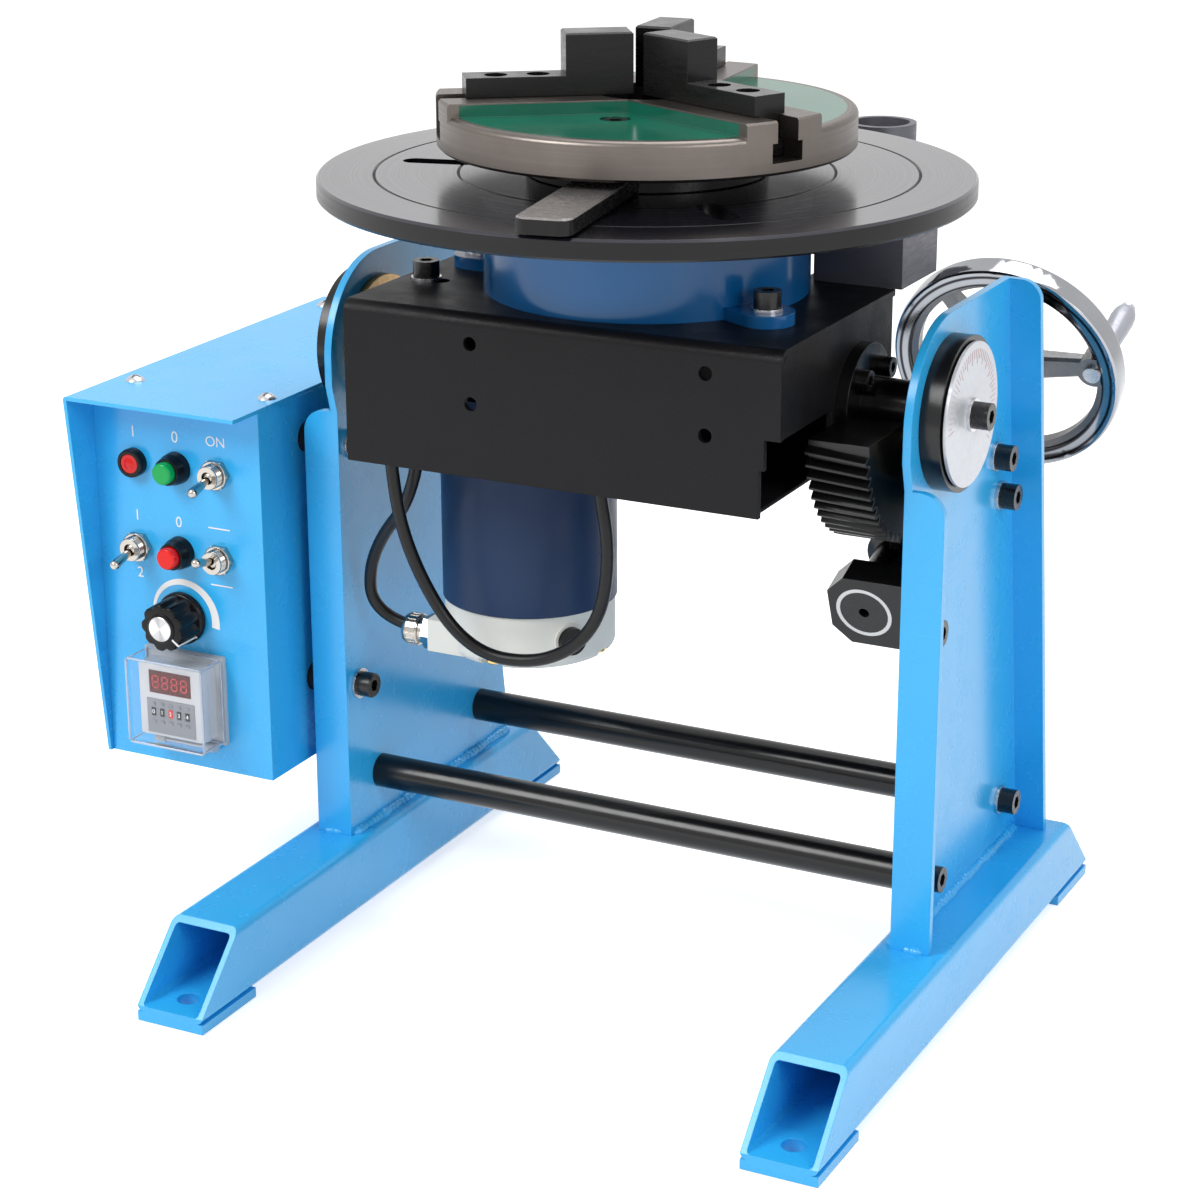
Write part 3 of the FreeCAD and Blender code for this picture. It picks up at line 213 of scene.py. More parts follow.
def turned(name, colour, roughness, centre, rings, strength, anisotropic, metallic=1.0,
           spread=0.15):    # rings about the Z axis through centre
    material, tree, shader = newTree(name)
    shader.inputs["Metallic"].default_value = metallic
    vector = place(tree, offset=(-centre[0], -centre[1], 0))
    split = tree.nodes.new("ShaderNodeSeparateXYZ")
    tree.links.new(vector, split.inputs[0])
    radius = axisDistance(tree, split)
    joined = tree.nodes.new("ShaderNodeCombineXYZ")
    tree.links.new(calc(tree, "MULTIPLY", radius, rings), joined.inputs[0])
    tree.links.new(calc(tree, "MULTIPLY", split.outputs[2], rings * 0.5), joined.inputs[1])
    lines = tree.nodes.new("ShaderNodeTexNoise")
    lines.inputs["Scale"].default_value = 1.0
    lines.inputs["Detail"].default_value = 2.0
    tree.links.new(joined.outputs[0], lines.inputs["Vector"])
    roughen(tree, shader, lines.outputs["Fac"], roughness, 0.8, 1.25)
    tree.links.new(cloudTone(tree, noise(tree, 22.0, 5.0), colour, spread), shader.inputs["Base Color"])
    shader.inputs["Anisotropic"].default_value = anisotropic
    tangent = tree.nodes.new("ShaderNodeTangent")
    tangent.direction_type = "RADIAL"
    tangent.axis = "Z"
    tree.links.new(tangent.outputs[0], shader.inputs["Tangent"])
    addBump(tree, shader, lines.outputs["Fac"], strength, 0.0001, 0.0004)
    return material, tree, shader, radius, split


paints = {
    "skyBlue": (0.028, 0.43, 0.86),
    "drumBlue": (0.007, 0.145, 0.42),
    "navy": (0.018, 0.040, 0.100),
    "ivory": (0.70, 0.71, 0.67),
    "powderBlack": (0.0075, 0.0075, 0.0088),
    "glossBlack": (0.004, 0.004, 0.0045),
}
finishes = {
    "frame_blue": paint("gloss sky blue", paints["skyBlue"], 0.26, 0.0, coat=0.2),
    "drum_blue": paint("drum blue", paints["drumBlue"], 0.17, 0.0, shine=0.4),
    "motor_blue": paint("motor navy", paints["navy"], 0.42, 0.2, 700.0, shine=0.2),
    "cap_white": paint("cast ivory", paints["ivory"], 0.5, 0.3, 420.0),
    "black_powder": paint("powder black", paints["powderBlack"], 0.42, 0.3, 900.0, shine=0.16),
    "black_gloss": paint("gloss black", paints["glossBlack"], 0.22, 0.1, 160.0, shine=0.4),
    "dial": metal("satin dial", (0.60, 0.62, 0.66), 0.38, 0.0, edge=0.0, spread=0.02, metallic=0.45),
    "black_oxide": metal("black oxide", (0.006, 0.006, 0.0065), 0.26, 0.06, metallic=0.12),
    "zinc": metal("zinc plate", (0.58, 0.58, 0.60), 0.24, 0.03, spread=0.04),
    "steel": metal("ground steel", (0.50, 0.50, 0.50), 0.3, 0.1, (60, 900, 900)),
    "grey_steel": metal("scaled steel", (0.13, 0.128, 0.15), 0.45, 0.15, (90, 90, 700), metallic=0.6),
    "chrome": metal("nickel plate", (0.46, 0.43, 0.39), 0.14, 0.03, spread=0.03),
    "bronze": metal("bronze", (0.45, 0.30, 0.14), 0.35, 0.1),
    "brass": metal("brass", (0.70, 0.52, 0.22), 0.3, 0.05),
    "cast_alloy": metal("cast alloy", (0.20, 0.20, 0.205), 0.4, 1.0, (420, 420, 420), spread=0.3),
    "frosted_alloy": metal("frosted alloy", (0.40, 0.41, 0.46), 0.38, 0.05, spread=0.04, metallic=0.5,
                           shine=0.3),
    "black_plastic": plastic("black plastic", (0.005, 0.005, 0.006), 0.2, 0.04, shine=0.2),
    "grey_plastic": plastic("grey plastic", (0.20, 0.20, 0.215), 0.4, 0.05),
    "pale_plastic": plastic("pale plastic", (0.50, 0.49, 0.49), 0.4, 0.05),
    "red_plastic": plastic("red plastic", (0.74, 0.006, 0.004), 0.16, 0.02, shine=0.3),
    "green_plastic": plastic("green plastic", (0.0, 0.36, 0.075), 0.16, 0.02, shine=0.3),
    "red_lens": plastic("red lens", (0.62, 0.005, 0.004), 0.14, 0.0, shine=0.3),
    "white_print": plastic("white print", (0.85, 0.85, 0.85), 0.5, 0.02),
    "red_print": plastic("red print", (0.62, 0.42, 0.44), 0.4, 0.02),
    "display": plastic("display red", (0.075, 0.001, 0.001), 0.15, 0.0, shine=0.2),
    "digit": plastic("digit red", (0.50, 0.006, 0.006), 0.4, 0.0, 0.0, 0.05),
    "cable": plastic("cable sheath", (0.004, 0.004, 0.0045), 0.38, 0.1, shine=0.3),
}


def clearPlastic():
    material, tree, shader = newTree("clear cover")
    tone = blendColour(tree, noise(tree, 60.0), (0.93, 0.96, 1.0), (0.98, 0.99, 1.0))
    tree.links.new(tone, shader.inputs["Base Color"])
    shader.inputs["Roughness"].default_value = 0.01
    shader.inputs["IOR"].default_value = 1.06
    shader.inputs["Transmission Weight"].default_value = 0.97
    shader.inputs["Coat Weight"].default_value = 0.15
    shader.inputs["Coat Roughness"].default_value = 0.02
    addBump(tree, shader, noise(tree, 120.0, 2.0), 0.02, 0.0002)
    return material


finishes["clear"] = clearPlastic()
# pale bars on the cover's edges: partly milky plastic, partly a painted highlight
finishes["milky_edge_highlight"] = plastic("milky edge highlight", (0.72, 0.80, 0.92), 0.12, 0.0, 0.55)
tableCentre = (0.0, axisShift / 1000)
tableLook = {    # pairs are for the rim, then for the top
    "rim": (0.004, 0.004, 0.005),
    "top": (0.022, 0.022, 0.033),
    "metallic": (0.1, 0.75),
    "coat": (0.05, 0.7),
}


def tableMaterial():    # blackened plate, its turned top glossier than its rim
    look = tableLook
    made = turned("turned table", look["top"], 0.23, tableCentre, 1900.0, 0.07, 0.75, 0.7)
    material, tree, shader = made[:3]
    top = shader.inputs["Base Color"].links[0].from_socket
    looksUp = upwards(tree)
    tree.links.new(blendColour(tree, looksUp, look["rim"], top), shader.inputs["Base Color"])
    tree.links.new(remap(tree, looksUp, 0, 1, *look["metallic"]), shader.inputs["Metallic"])
    tree.links.new(remap(tree, looksUp, 0, 1, *look["coat"]), shader.inputs["Coat Weight"])
    shader.inputs["Coat IOR"].default_value = 1.65
    shader.inputs["Coat Roughness"].default_value = 0.16
    shader.inputs["Specular IOR Level"].default_value = 0.3
    return material


finishes["table"] = tableMaterial()
finishes["scroll"] = metal("worn black steel", (0.012, 0.011, 0.011), 0.24, 0.03, (300, 300, 300),
                           metallic=0.6, top=(0.27, 0.255, 0.25), spread=0.05)

chuckLook = {
    "green": (0.004, 0.115, 0.070),
    "iron": (0.165, 0.145, 0.132),
    "floorZ": 0.4335,    # m, the painted recesses lie between this and the lands' tops
    "landTopZ": 0.4398,
    "rimRadius": 0.0945,
    "landHalf": 0.0222,
    "landAngles": (-24.5, 95.5, 215.5),
    "wobble": 0.0009,    # how far the brushed edge of the paint wanders
    "paintRough": 0.16,
}


def chuckMaterial():
    look = chuckLook
    material, tree, shader, radius, split = turned("machined iron with green recesses", look["iron"], 0.34,
                                                   tableCentre, 2300.0, 0.2, 0.35, spread=0.3)
    bare = shader.inputs["Base Color"].links[0].from_socket
    bareRough = shader.inputs["Roughness"].links[0].from_socket
    x, y, z = split.outputs
    wobble = remap(tree, noise(tree, 160.0, 3.0), 0, 1, -look["wobble"], look["wobble"])
    mask = calc(tree, "LESS_THAN", calc(tree, "ADD", radius, wobble), look["rimRadius"])
    mask = calc(tree, "MULTIPLY", mask, calc(tree, "GREATER_THAN", z, look["floorZ"] - 0.0006))
    mask = calc(tree, "MULTIPLY", mask, calc(tree, "LESS_THAN", z, look["landTopZ"] - 0.0007))
    for angle in look["landAngles"]:
        c, s = math.cos(math.radians(angle)), math.sin(math.radians(angle))
        along = calc(tree, "ADD", calc(tree, "MULTIPLY", x, c), calc(tree, "MULTIPLY", y, s))
        side = calc(tree, "SUBTRACT", calc(tree, "MULTIPLY", y, c), calc(tree, "MULTIPLY", x, s))
        across = calc(tree, "ABSOLUTE", side)
        inLand = calc(tree, "MULTIPLY", calc(tree, "GREATER_THAN", along, 0.0),
                      calc(tree, "LESS_THAN", across, look["landHalf"]))
        mask = calc(tree, "MULTIPLY", mask, calc(tree, "SUBTRACT", 1.0, inLand))
    dark, light = (shade(look["green"], amount) for amount in (0.75, 1.3))
    paintTone = blendColour(tree, noise(tree, 45.0, 4.0), dark, light)
    tree.links.new(blendColour(tree, mask, bare, paintTone), shader.inputs["Base Color"])
    tree.links.new(calc(tree, "SUBTRACT", 1.0, mask), shader.inputs["Metallic"])
    mixed = tree.nodes.new("ShaderNodeMix")
    tree.links.new(mask, mixed.inputs[0])
    tree.links.new(bareRough, mixed.inputs[2])
    mixed.inputs[3].default_value = look["paintRough"]
    tree.links.new(mixed.outputs[0], shader.inputs["Roughness"])
    return material


finishes["chuck"] = chuckMaterial()
finishes["jaw"] = metal("black jaw", (0.004, 0.0036, 0.0036), 0.27, 0.08, (90, 90, 500), 0.0006,
                        metallic=0.0, top=(0.035, 0.035, 0.036), shine=0.3)
print("materials:", len(finishes))

# pieces carried over from the frame


def finished(piece, material, body):
    if piece.name not in bpy.context.scene.collection.objects:
        bpy.context.scene.collection.objects.link(piece)
    for item in material if isinstance(material, (list, tuple)) else [material]:
        piece.data.materials.append(item)
    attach(piece, body)
    return piece


def markEdges(bm, angle):    # smooth faces, sharp where they meet at more than the angle in degrees
    limit = math.radians(angle)
    for face in bm.faces:
        face.smooth = True
    for edge in bm.edges:
        edge.smooth = len(edge.link_faces) == 2 and edge.calc_face_angle(math.pi) < limit


def toPiece(bm, name, material, body, angle=32.0, recalc=True):
    if recalc:
        bmesh.ops.remove_doubles(bm, verts=bm.verts, dist=1e-7)
        bmesh.ops.recalc_face_normals(bm, faces=bm.faces)
    markEdges(bm, angle)
    mesh = bpy.data.meshes.new(name)
    bm.to_mesh(mesh)
    bm.free()
    piece = bpy.data.objects.new(name, mesh)
    return finished(piece, material, body)


def evenShading(piece):
    even = piece.modifiers.new("evenShading", "WEIGHTED_NORMAL")
    even.keep_sharp = True


def nodeMesh(node):    # the node's own mesh with its triangles joined
    bm = bmesh.new()
    bm.from_mesh(frame["nodes"][node].data)
    bmesh.ops.remove_doubles(bm, verts=bm.verts, dist=2e-6)
    return bm


bodyOf = {node: body for body, nodes in frame["record"]["behaviour"]["bodies"].items() for node in nodes}


def dress(node, look, angle=30.0):
    piece = toPiece(nodeMesh(node), node + "Skin", finishes[look], bodyOf[node], angle, recalc=False)
    evenShading(piece)
    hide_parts(node)


looks = {
    "frame_blue": "feet left_side_plate right_side_plate control_chassis control_cover",
    "drum_blue": "bearing_drum",
    "motor_blue": "gearhead motor_body",
    "cap_white": "motor_cap",
    "black_powder": "tilt_box end_plates standoffs",
    "black_gloss": "tie_rods bearing_housings worm_blocks trunnion_shafts gear_sector",
    "black_oxide": "frame_bolts tilt_bolts chuck_screws worm_shaft",
    "zinc": "frame_washers tilt_washers cover_screws speed_pot grip_pin spindle_bearings",
    "dial": "angle_dial",
    "steel": "spindle spindle_gear pinion worm_bushes",
    "grey_steel": "torch_block torch_tube",
    "chrome": "toggle_bodies toggle_nuts power_toggle mode_toggle direction_toggle",
    "frosted_alloy": "crank_grip",
    "bronze": "trunnion_bushes",
    "black_plastic": "brush_caps terminal_box control_bezels",
    "pale_plastic": "timer_body",
    "red_plastic": "lock_button",
    "green_plastic": "reset_button",
    "red_lens": "lamp_lens",
    "clear": "timer_cover",
    "table": "table",
    "chuck": "chuck_body",
    "scroll": "scroll_lever",
    "jaw": "jaw_1 jaw_2 jaw_3",
}
for look, names in looks.items():
    for node in names.split():
        dress(node, look)
print("carried over:", sum(len(names.split()) for names in looks.values()), "nodes")

# shape helpers


def ring(bm, points, steps):    # a closed section of (radius, height) points in mm, turned about Z
    verts = [bm.verts.new((r / 1000, 0, h / 1000)) for r, h in points]
    edges = [bm.edges.new((verts[i], verts[(i + 1) % len(verts)])) for i in range(len(verts))]
    bmesh.ops.spin(bm, geom=verts + edges, cent=(0, 0, 0), axis=(0, 0, 1), dvec=(0, 0, 0),
                   angle=2 * math.pi, steps=steps, use_merge=True, use_duplicate=False)


def ringsAt(bm, sections, matrix, steps):    # sections turned about one axis, then moved into place
    before = len(bm.verts)
    for points in sections:
        ring(bm, points, steps)
    bm.verts.ensure_lookup_table()
    bmesh.ops.transform(bm, matrix=matrix, verts=bm.verts[before:])


def block(bm, size, centre, turn=None, bevel=0.0):
    start = len(bm.verts)
    made = bmesh.ops.create_cube(bm, size=1.0)["verts"]
    bmesh.ops.scale(bm, vec=Vector(size) / 1000, verts=made)
    if bevel:
        edges = list({edge for vert in made for edge in vert.link_edges})
        bmesh.ops.bevel(bm, geom=edges, offset=bevel / 1000, offset_type="OFFSET", segments=2, profile=0.5,
                        affect="EDGES", material=-1)
        bm.verts.ensure_lookup_table()
        made = bm.verts[start:]
    move = Matrix.Translation(Vector(centre) / 1000)
    bmesh.ops.transform(bm, matrix=move @ (turn or Matrix()), verts=made)


def blockPiece(name, finish, body, blocks, angle=32.0):    # blocks are (size, centre, bevel) in mm
    bm = bmesh.new()
    for size, centre, bevel in blocks:
        block(bm, size, centre, bevel=bevel)
    return toPiece(bm, name, finishes[finish], body, angle)


def facing(point, direction):    # turns Z to the direction, at the point
    return Matrix.Translation(point) @ Vector(direction).to_track_quat("Z", "Y").to_matrix().to_4x4()


# cables
cables = {
    "radius": 3.2,    # mm
    "look": "cable",
    "slot": "cable_grey",
    "bevelSteps": 5,
    "curveSteps": 12,
}
motorRoute = [(-103, -28, 160), (-143, -28, 160), (-139, -38, 201), (-91, -62, 250), (-91, -62, 302)]
supplyRoute = [(4, -62, 302), (4, -62, 268), (11, -61, 228), (3, -60, 188), (-28, -60, 165), (-70, -62, 167),
               (-96, -70, 214), (-102, -76, 262), (-102, -76, 302)]


def cable(name, points, node):
    curve = bpy.data.curves.new(name, "CURVE")
    curve.dimensions = "3D"
    spline = curve.splines.new("NURBS")
    spline.points.add(len(points) - 1)
    for slot, point in zip(spline.points, points):
        slot.co = (*at(*point), 1)
    spline.order_u = 3
    spline.use_endpoint_u = True
    spline.resolution_u = cables["curveSteps"]
    curve.resolution_u = cables["curveSteps"]
    curve.bevel_depth = cables["radius"] / 1000
    curve.bevel_resolution = cables["bevelSteps"]
    curve.use_fill_caps = True
    piece = bpy.data.objects.new(name, curve)
    bpy.context.scene.collection.objects.link(piece)
    curve.materials.append(finishes[cables["look"]])
    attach(piece, "tilt_body")
    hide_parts(node)
    return piece


motorCable = cable("motorCable", motorRoute, "motor_cable")
supplyCable = cable("supplyCable", supplyRoute, "supply_cable")
print("cables laid")

# handwheel
wheel = {
    "polishFrom": 50.8,    # mm from the wheel's axis
    # radii, width and colour of the rings of painted shade at the rim's grooves
    "shadedGrooves": (0.0522, 0.0569),    # m from the wheel's axis
    "shadedGrooveWide": 0.0007,
    "grooveShadeTone": (0.035, 0.035, 0.04),
    "roughness": 0.09,
}


def rimMaterial():    # polished rim with painted shade: dark rings painted into its colour at its turned grooves, about the wheel's own axis
    material, tree, shader = newTree("polished rim")
    shader.inputs["Metallic"].default_value = 1.0
    toWheel = wormPlace.inverted()
    split = tree.nodes.new("ShaderNodeSeparateXYZ")
    vector = place(tree, tuple(toWheel.translation), tuple(toWheel.to_euler()))
    tree.links.new(vector, split.inputs[0])
    radius = axisDistance(tree, split)
    wide = wheel["shadedGrooveWide"]
    # painted shade: the rim's colour darkens in thin rings at its grooves
    dark = 0.0
    for groove in wheel["shadedGrooves"]:
        near = calc(tree, "ABSOLUTE", calc(tree, "SUBTRACT", radius, groove))
        dark = calc(tree, "MAXIMUM", dark, remap(tree, near, wide * 0.6, wide * 1.6, 1, 0))
    tone = blendColour(tree, noise(tree, 30.0, 4.0), (0.30, 0.31, 0.33), (0.42, 0.43, 0.45))
    tree.links.new(blendColour(tree, dark, tone, wheel["grooveShadeTone"]), shader.inputs["Base Color"])
    shader.inputs["Roughness"].default_value = wheel["roughness"]
    addBump(tree, shader, noise(tree, 500.0, 2.0), 0.03, 0.0001, 0.0003)
    return material


def handwheel():
    bm = nodeMesh("handwheel")
    back = wormPlace.inverted()
    for face in bm.faces:
        spot = back @ face.calc_center_median()
        face.material_index = 1 if math.hypot(spot.x, spot.y) * 1000 > wheel["polishFrom"] else 0
    metals = [finishes["cast_alloy"], rimMaterial()]
    piece = toPiece(bm, "handwheelSkin", metals, "worm_body", 40, recalc=False)
    evenShading(piece)
    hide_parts("handwheel")


handwheel()
print("handwheel done")

# cable gland and motor end
dress("cable_gland", "chrome", 32)

motorEnd = {
    "x": -66.0,
    "reach": 38.5,    # from the motor's axis to each screw
    "seat": 156.0,
    "angles": (-90, 0, 90, 180),
    "head": 4.4,
    "height": 2.8,
}


def motorScrews():
    look = motorEnd
    head, high = look["head"], look["height"]
    section = [(0.01, -0.2), (head, -0.2), (head, high * 0.6), (head * 0.8, high * 0.9), (head * 0.5, high),
               (head * 0.45, high * 0.5), (0.01, high * 0.5)]
    bm = bmesh.new()
    for angle in look["angles"]:
        a = math.radians(angle)
        spot = at(look["x"] + look["reach"] * math.cos(a), look["reach"] * math.sin(a), look["seat"])
        ringsAt(bm, [section], facing(spot, (0, 0, -1)), 28)
    heads = toPiece(bm, "motorScrews", finishes["brass"], "tilt_body")


motorScrews()
print("motor end done")

# sheets that close the tilting box behind and below, with their lowest and highest x, y and z
boxSheets = {
    "boxRear": {"x": (-18.0, 107.5), "y": (41.0, 43.4), "z": (268.0, 342.6)},
    "boxBottom": {"x": (12.0, 98.0), "y": (-87.5, 41.0), "z": (267.2, 269.4)},
}


def closingSheet(name):
    spans = boxSheets[name]
    low, high = zip(spans["x"], spans["y"], spans["z"])
    size = [b - a for a, b in zip(low, high)]
    centre = [(a + b) / 2 + shift for a, b, shift in zip(low, high, (0, axisShift, 0))]
    piece = blockPiece(name, "black_powder", "tilt_body", [(size, centre, 0.4)])


for sheetName in boxSheets:
    closingSheet(sheetName)
print("box closed")

# welds
welds = {
    "radius": 3.2,
    "thin": 2.8,    # radius of the short beads across the flanges
    "pitch": 3.4,
    "ripple": 0.10,
    "z": 43.2,    # top of the feet
    "inner": 152.0,    # x of each plate's two faces and of its flanges' edges
    "outer": 156.0,
    "edge": 172.0,
}


def bead(bm, start, end, radius, phase):    # a rippled bead that swells in from both ends
    length = (end - start).length * 1000
    count = max(8, int(length / welds["pitch"] * 4))
    points = [(0.02, -length / 2)]
    for k in range(count + 1):
        z = length * (k / count - 0.5)
        wave = 1 + welds["ripple"] * math.sin(2 * math.pi * z / welds["pitch"] + phase)
        wave += 0.12 * math.sin(z * 0.21 + phase * 3) + 0.07 * math.sin(z * 0.53 + phase)
        points.append((radius * wave * min(1.0, 0.35 + (length / 2 - abs(z)) / 4), z))
    points.append((0.02, length / 2))
    ringsAt(bm, [points], facing((start + end) / 2, end - start), 12)


def frameWelds():
    bm = bmesh.new()
    for side in (-1, 1):
        inner, outer, edge = (welds[name] * side for name in ("inner", "outer", "edge"))
        beads = (
            ((inner, -40), (inner, 60), "radius", 1.0 + side),
            ((inner, 60), (inner, 130), "radius", 2.0 + side),
            ((outer + side, -40), (edge - 3 * side, -41.5), "thin", 0.4),
            ((outer, -36), (outer, 124), "radius", 3.0 + side),
            ((outer, 130), (edge, 130.5), "thin", 1.1),
        )
        for start, end, radius, phase in beads:
            bead(bm, at(*start, welds["z"]), at(*end, welds["z"]), welds[radius], phase)
    piece = toPiece(bm, "frameWelds", finishes["frame_blue"], "base", 60)


frameWelds()
print("welds done")

# bolts that hold the control box standoffs, their heads on the inner face of the left plate
standoffBolts = {
    "x": -152.0,
    "y": (-29.5, 70.0),
    "z": (125.0, 255.0),
    "bore": 4.2,
    "washer": 8.0,
    "washerHigh": 1.6,
    "head": 6.5,
    "high": 8.0,
    "socket": 3.0,
    "socketFloor": 4.5,
}


def panelBolts():
    look = standoffBolts
    bore, wide, high = look["bore"], look["washer"], look["washerHigh"]
    washer = [(bore, 0.02), (wide, 0.02), (wide, high), (bore, high)]
    head, socket, floor = look["head"], look["socket"], look["socketFloor"]
    low = high - 0.1    # heads sink a little into their washers
    top = low + look["high"]
    bolt = [(0.01, low), (head, low), (head, top - 0.6), (head - 0.6, top), (socket + 0.3, top),
            (socket, top - 0.3), (socket, floor), (0.01, floor)]
    heads, washers = bmesh.new(), bmesh.new()
    for y, z in [(y, z) for z in look["z"] for y in look["y"]]:
        seat = facing(at(look["x"], y, z), (1, 0, 0))
        ringsAt(washers, [washer], seat, 36)
        ringsAt(heads, [bolt], seat, 36)
    toPiece(heads, "standoffBolts", finishes["black_oxide"], "base")
    toPiece(washers, "standoffWashers", finishes["zinc"], "base")


panelBolts()
print("standoff bolts done")

# control panel
panel = {
    "y": -73.0,
    "columns": (-255.0, -229.5, -205.0),
    "rows": (243.0, 198.0),
    "knobZ": 163.0,
    "print": 0.15,    # mm, how far print stands off the sheet
    "marks": (("1", 8.5, 0, 0, 16.0), ("0", 8.5, 1, 0, 16.0), ("ON", 7.5, 2, 0, 16.5), ("1", 8.0, 0, 1, 16.5),
              ("2", 8.0, 0, 1, -14.5), ("0", 8.0, 1, 1, 16.0)),    # words, size, column, row, rise
    "dashes": (16.0, -14.5),
    "dash": (13, 0.1, 0.7),
}
crescent = {    # the scale round the knob, which widens clockwise
    "inner": 17.4,
    "start": 205.0,
    "sweep": 215.0,
    "narrow": 0.4,
    "growth": 4.4,
    "steps": 40,
}


def textPiece(bm, words, size, centre):
    curve = bpy.data.curves.new("label", "FONT")
    curve.body = words
    curve.size = size / 1000
    curve.align_x = "CENTER"
    curve.align_y = "CENTER"
    curve.extrude = 0.00004
    holder = bpy.data.objects.new("label", curve)
    mesh = bpy.data.meshes.new_from_object(holder)
    before = len(bm.verts)
    bm.from_mesh(mesh)
    bm.verts.ensure_lookup_table()
    bmesh.ops.transform(bm, matrix=Matrix.Translation(centre) @ Matrix.Rotation(math.pi / 2, 4, "X"),
                        verts=bm.verts[before:])
    bpy.data.objects.remove(holder)
    bpy.data.curves.remove(curve)
    bpy.data.meshes.remove(mesh)


def panelPrint():
    bm = bmesh.new()
    face = panel["y"] - panel["print"]
    middle, right = panel["columns"][1:]
    for words, size, column, row, rise in panel["marks"]:
        textPiece(bm, words, size, at(panel["columns"][column], face, panel["rows"][row] + rise))
    for rise in panel["dashes"]:
        block(bm, panel["dash"], (right, face + axisShift, panel["rows"][1] + rise))
    look = crescent
    verts = []
    for k in range(look["steps"] + 1):
        t = k / look["steps"]
        a = math.radians(look["start"] - look["sweep"] * t)
        width = look["narrow"] + look["growth"] * t ** 0.7
        for r in (look["inner"], look["inner"] + width):
            verts.append(bm.verts.new(at(middle + r * math.cos(a), face, panel["knobZ"] + r * math.sin(a))))
    for k in range(look["steps"]):
        bm.faces.new((verts[2 * k], verts[2 * k + 1], verts[2 * k + 3], verts[2 * k + 2]))
    piece = toPiece(bm, "panelPrint", finishes["white_print"], "base", 20, recalc=False)


panelPrint()

knob = {    # mm, and degrees for the pointer
    "skirt": 13.9,
    "foot": 4.6,
    "front": 20.4,
    "body": 12.6,
    "flutes": 9,
    "depth": 1.5,
    "cap": 6.6,
    "pointer": -38.0,
    "mark": 0.9,
}


def knobBody():
    look = knob
    body, foot, front, skirt = look["body"], look["foot"], look["front"], look["skirt"]
    lip = look["cap"] + 1.4
    bm = bmesh.new()
    bmesh.ops.create_cone(bm, cap_ends=True, cap_tris=False, segments=144, radius1=(body + 0.5) / 1000,
                          radius2=body / 1000, depth=(front - foot) / 1000,
                          matrix=Matrix.Translation((0, 0, (foot + front) / 2000)))
    rim = [edge for edge in bm.edges if all(vert.co.z > (front - 0.01) / 1000 for vert in edge.verts)]
    bmesh.ops.bevel(bm, geom=rim, offset=0.0011, offset_type="OFFSET", segments=3, profile=0.5,
                    affect="EDGES", material=-1)
    for vert in bm.verts:
        angle = math.atan2(vert.co.y, vert.co.x)
        hollow = (0.5 + 0.5 * math.cos(look["flutes"] * angle)) ** 2
        keep = 1 - look["depth"] / body * hollow
        vert.co.x *= keep
        vert.co.y *= keep
    ring(bm, [(0.01, 1.0), (skirt, 1.0), (skirt, 3.6), (skirt - 0.5, 4.4), (skirt - 1.2, 4.7),
              (0.01, 4.7)], 72)
    ring(bm, [(0.01, 20.3), (lip, 20.3), (lip, 20.9), (lip - 0.5, 21.2), (0.01, 21.2)], 64)
    return bm


def knobMark(spot):    # the white pointer, across the front, down the side and out over the skirt
    look = knob
    cap, front, skirt, wide = look["cap"] + 1.6, look["front"], look["skirt"], look["mark"]
    reach = look["body"] + 0.1
    turn = Matrix.Translation(spot) @ Matrix.Rotation(-math.radians(look["pointer"]), 4, "Y")
    strokes = (
        ((reach - cap, 0.5, wide), ((cap + reach) / 2, -front, 0)),
        ((0.6, front - 4.4, wide), (reach + 0.2, -(front + 4.4) / 2, 0)),
        ((skirt - reach, 0.5, wide), ((skirt + reach - 0.8) / 2, -4.7, 0)),
    )
    bm = bmesh.new()
    for size, middle in strokes:
        block(bm, size, (0, 0, 0), turn @ Matrix.Translation(Vector(middle) / 1000))
    return toPiece(bm, "knobMark", finishes["white_print"], "speed_body")


def speedKnob():
    spot = at(panel["columns"][1], panel["y"], panel["knobZ"])
    seat = facing(spot, (0, -1, 0))
    bm = knobBody()
    bmesh.ops.transform(bm, matrix=seat, verts=bm.verts)
    body = toPiece(bm, "knobBody", finishes["black_plastic"], "speed_body", 40)
    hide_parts("speed_knob")
    bm = bmesh.new()
    cap = knob["cap"]
    ringsAt(bm, [[(0.01, 21.1), (cap, 21.1), (cap, 21.7), (cap - 0.35, 21.95), (0.01, 21.95)]], seat, 64)
    top = toPiece(bm, "knobCap", spunCap(spot), "speed_body")
    for piece in (body, top, knobMark(spot)):
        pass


def spunCap(centre):    # painted reflection: rays of light painted into the colour of a spun disc, about its own Y axis
    material, tree, shader = newTree("spun cap painted reflection")
    shader.inputs["Metallic"].default_value = 1.0
    split = tree.nodes.new("ShaderNodeSeparateXYZ")
    tree.links.new(place(tree, offset=tuple(-value for value in centre)), split.inputs[0])
    angle = calc(tree, "ARCTAN2", split.outputs[2], split.outputs[0])
    broad = calc(tree, "COSINE", calc(tree, "MULTIPLY", angle, 2.0))
    narrow = calc(tree, "SINE", calc(tree, "MULTIPLY", angle, 6.0))
    paintedRays = calc(tree, "ADD", calc(tree, "MULTIPLY", broad, 0.5), calc(tree, "MULTIPLY", narrow, 0.15))
    # painted reflection: the base colour turns light and dark in rays round the disc
    tone = blendColour(tree, remap(tree, paintedRays, -0.6, 0.6, 0, 1), (0.36, 0.36, 0.37), (0.78, 0.78, 0.80))
    tree.links.new(tone, shader.inputs["Base Color"])
    shader.inputs["Roughness"].default_value = 0.3
    addBump(tree, shader, noise(tree, 700.0, 2.0), 0.05, 0.0001)
    return material


speedKnob()

collars = {
    "bore": 5.95,
    "foot": 8.6,
    "nose": 6.7,
    "high": 9.6,
    "pilotBore": 5.2,
    "pilot": 7.3,
    "pilotHigh": 5.4,
}


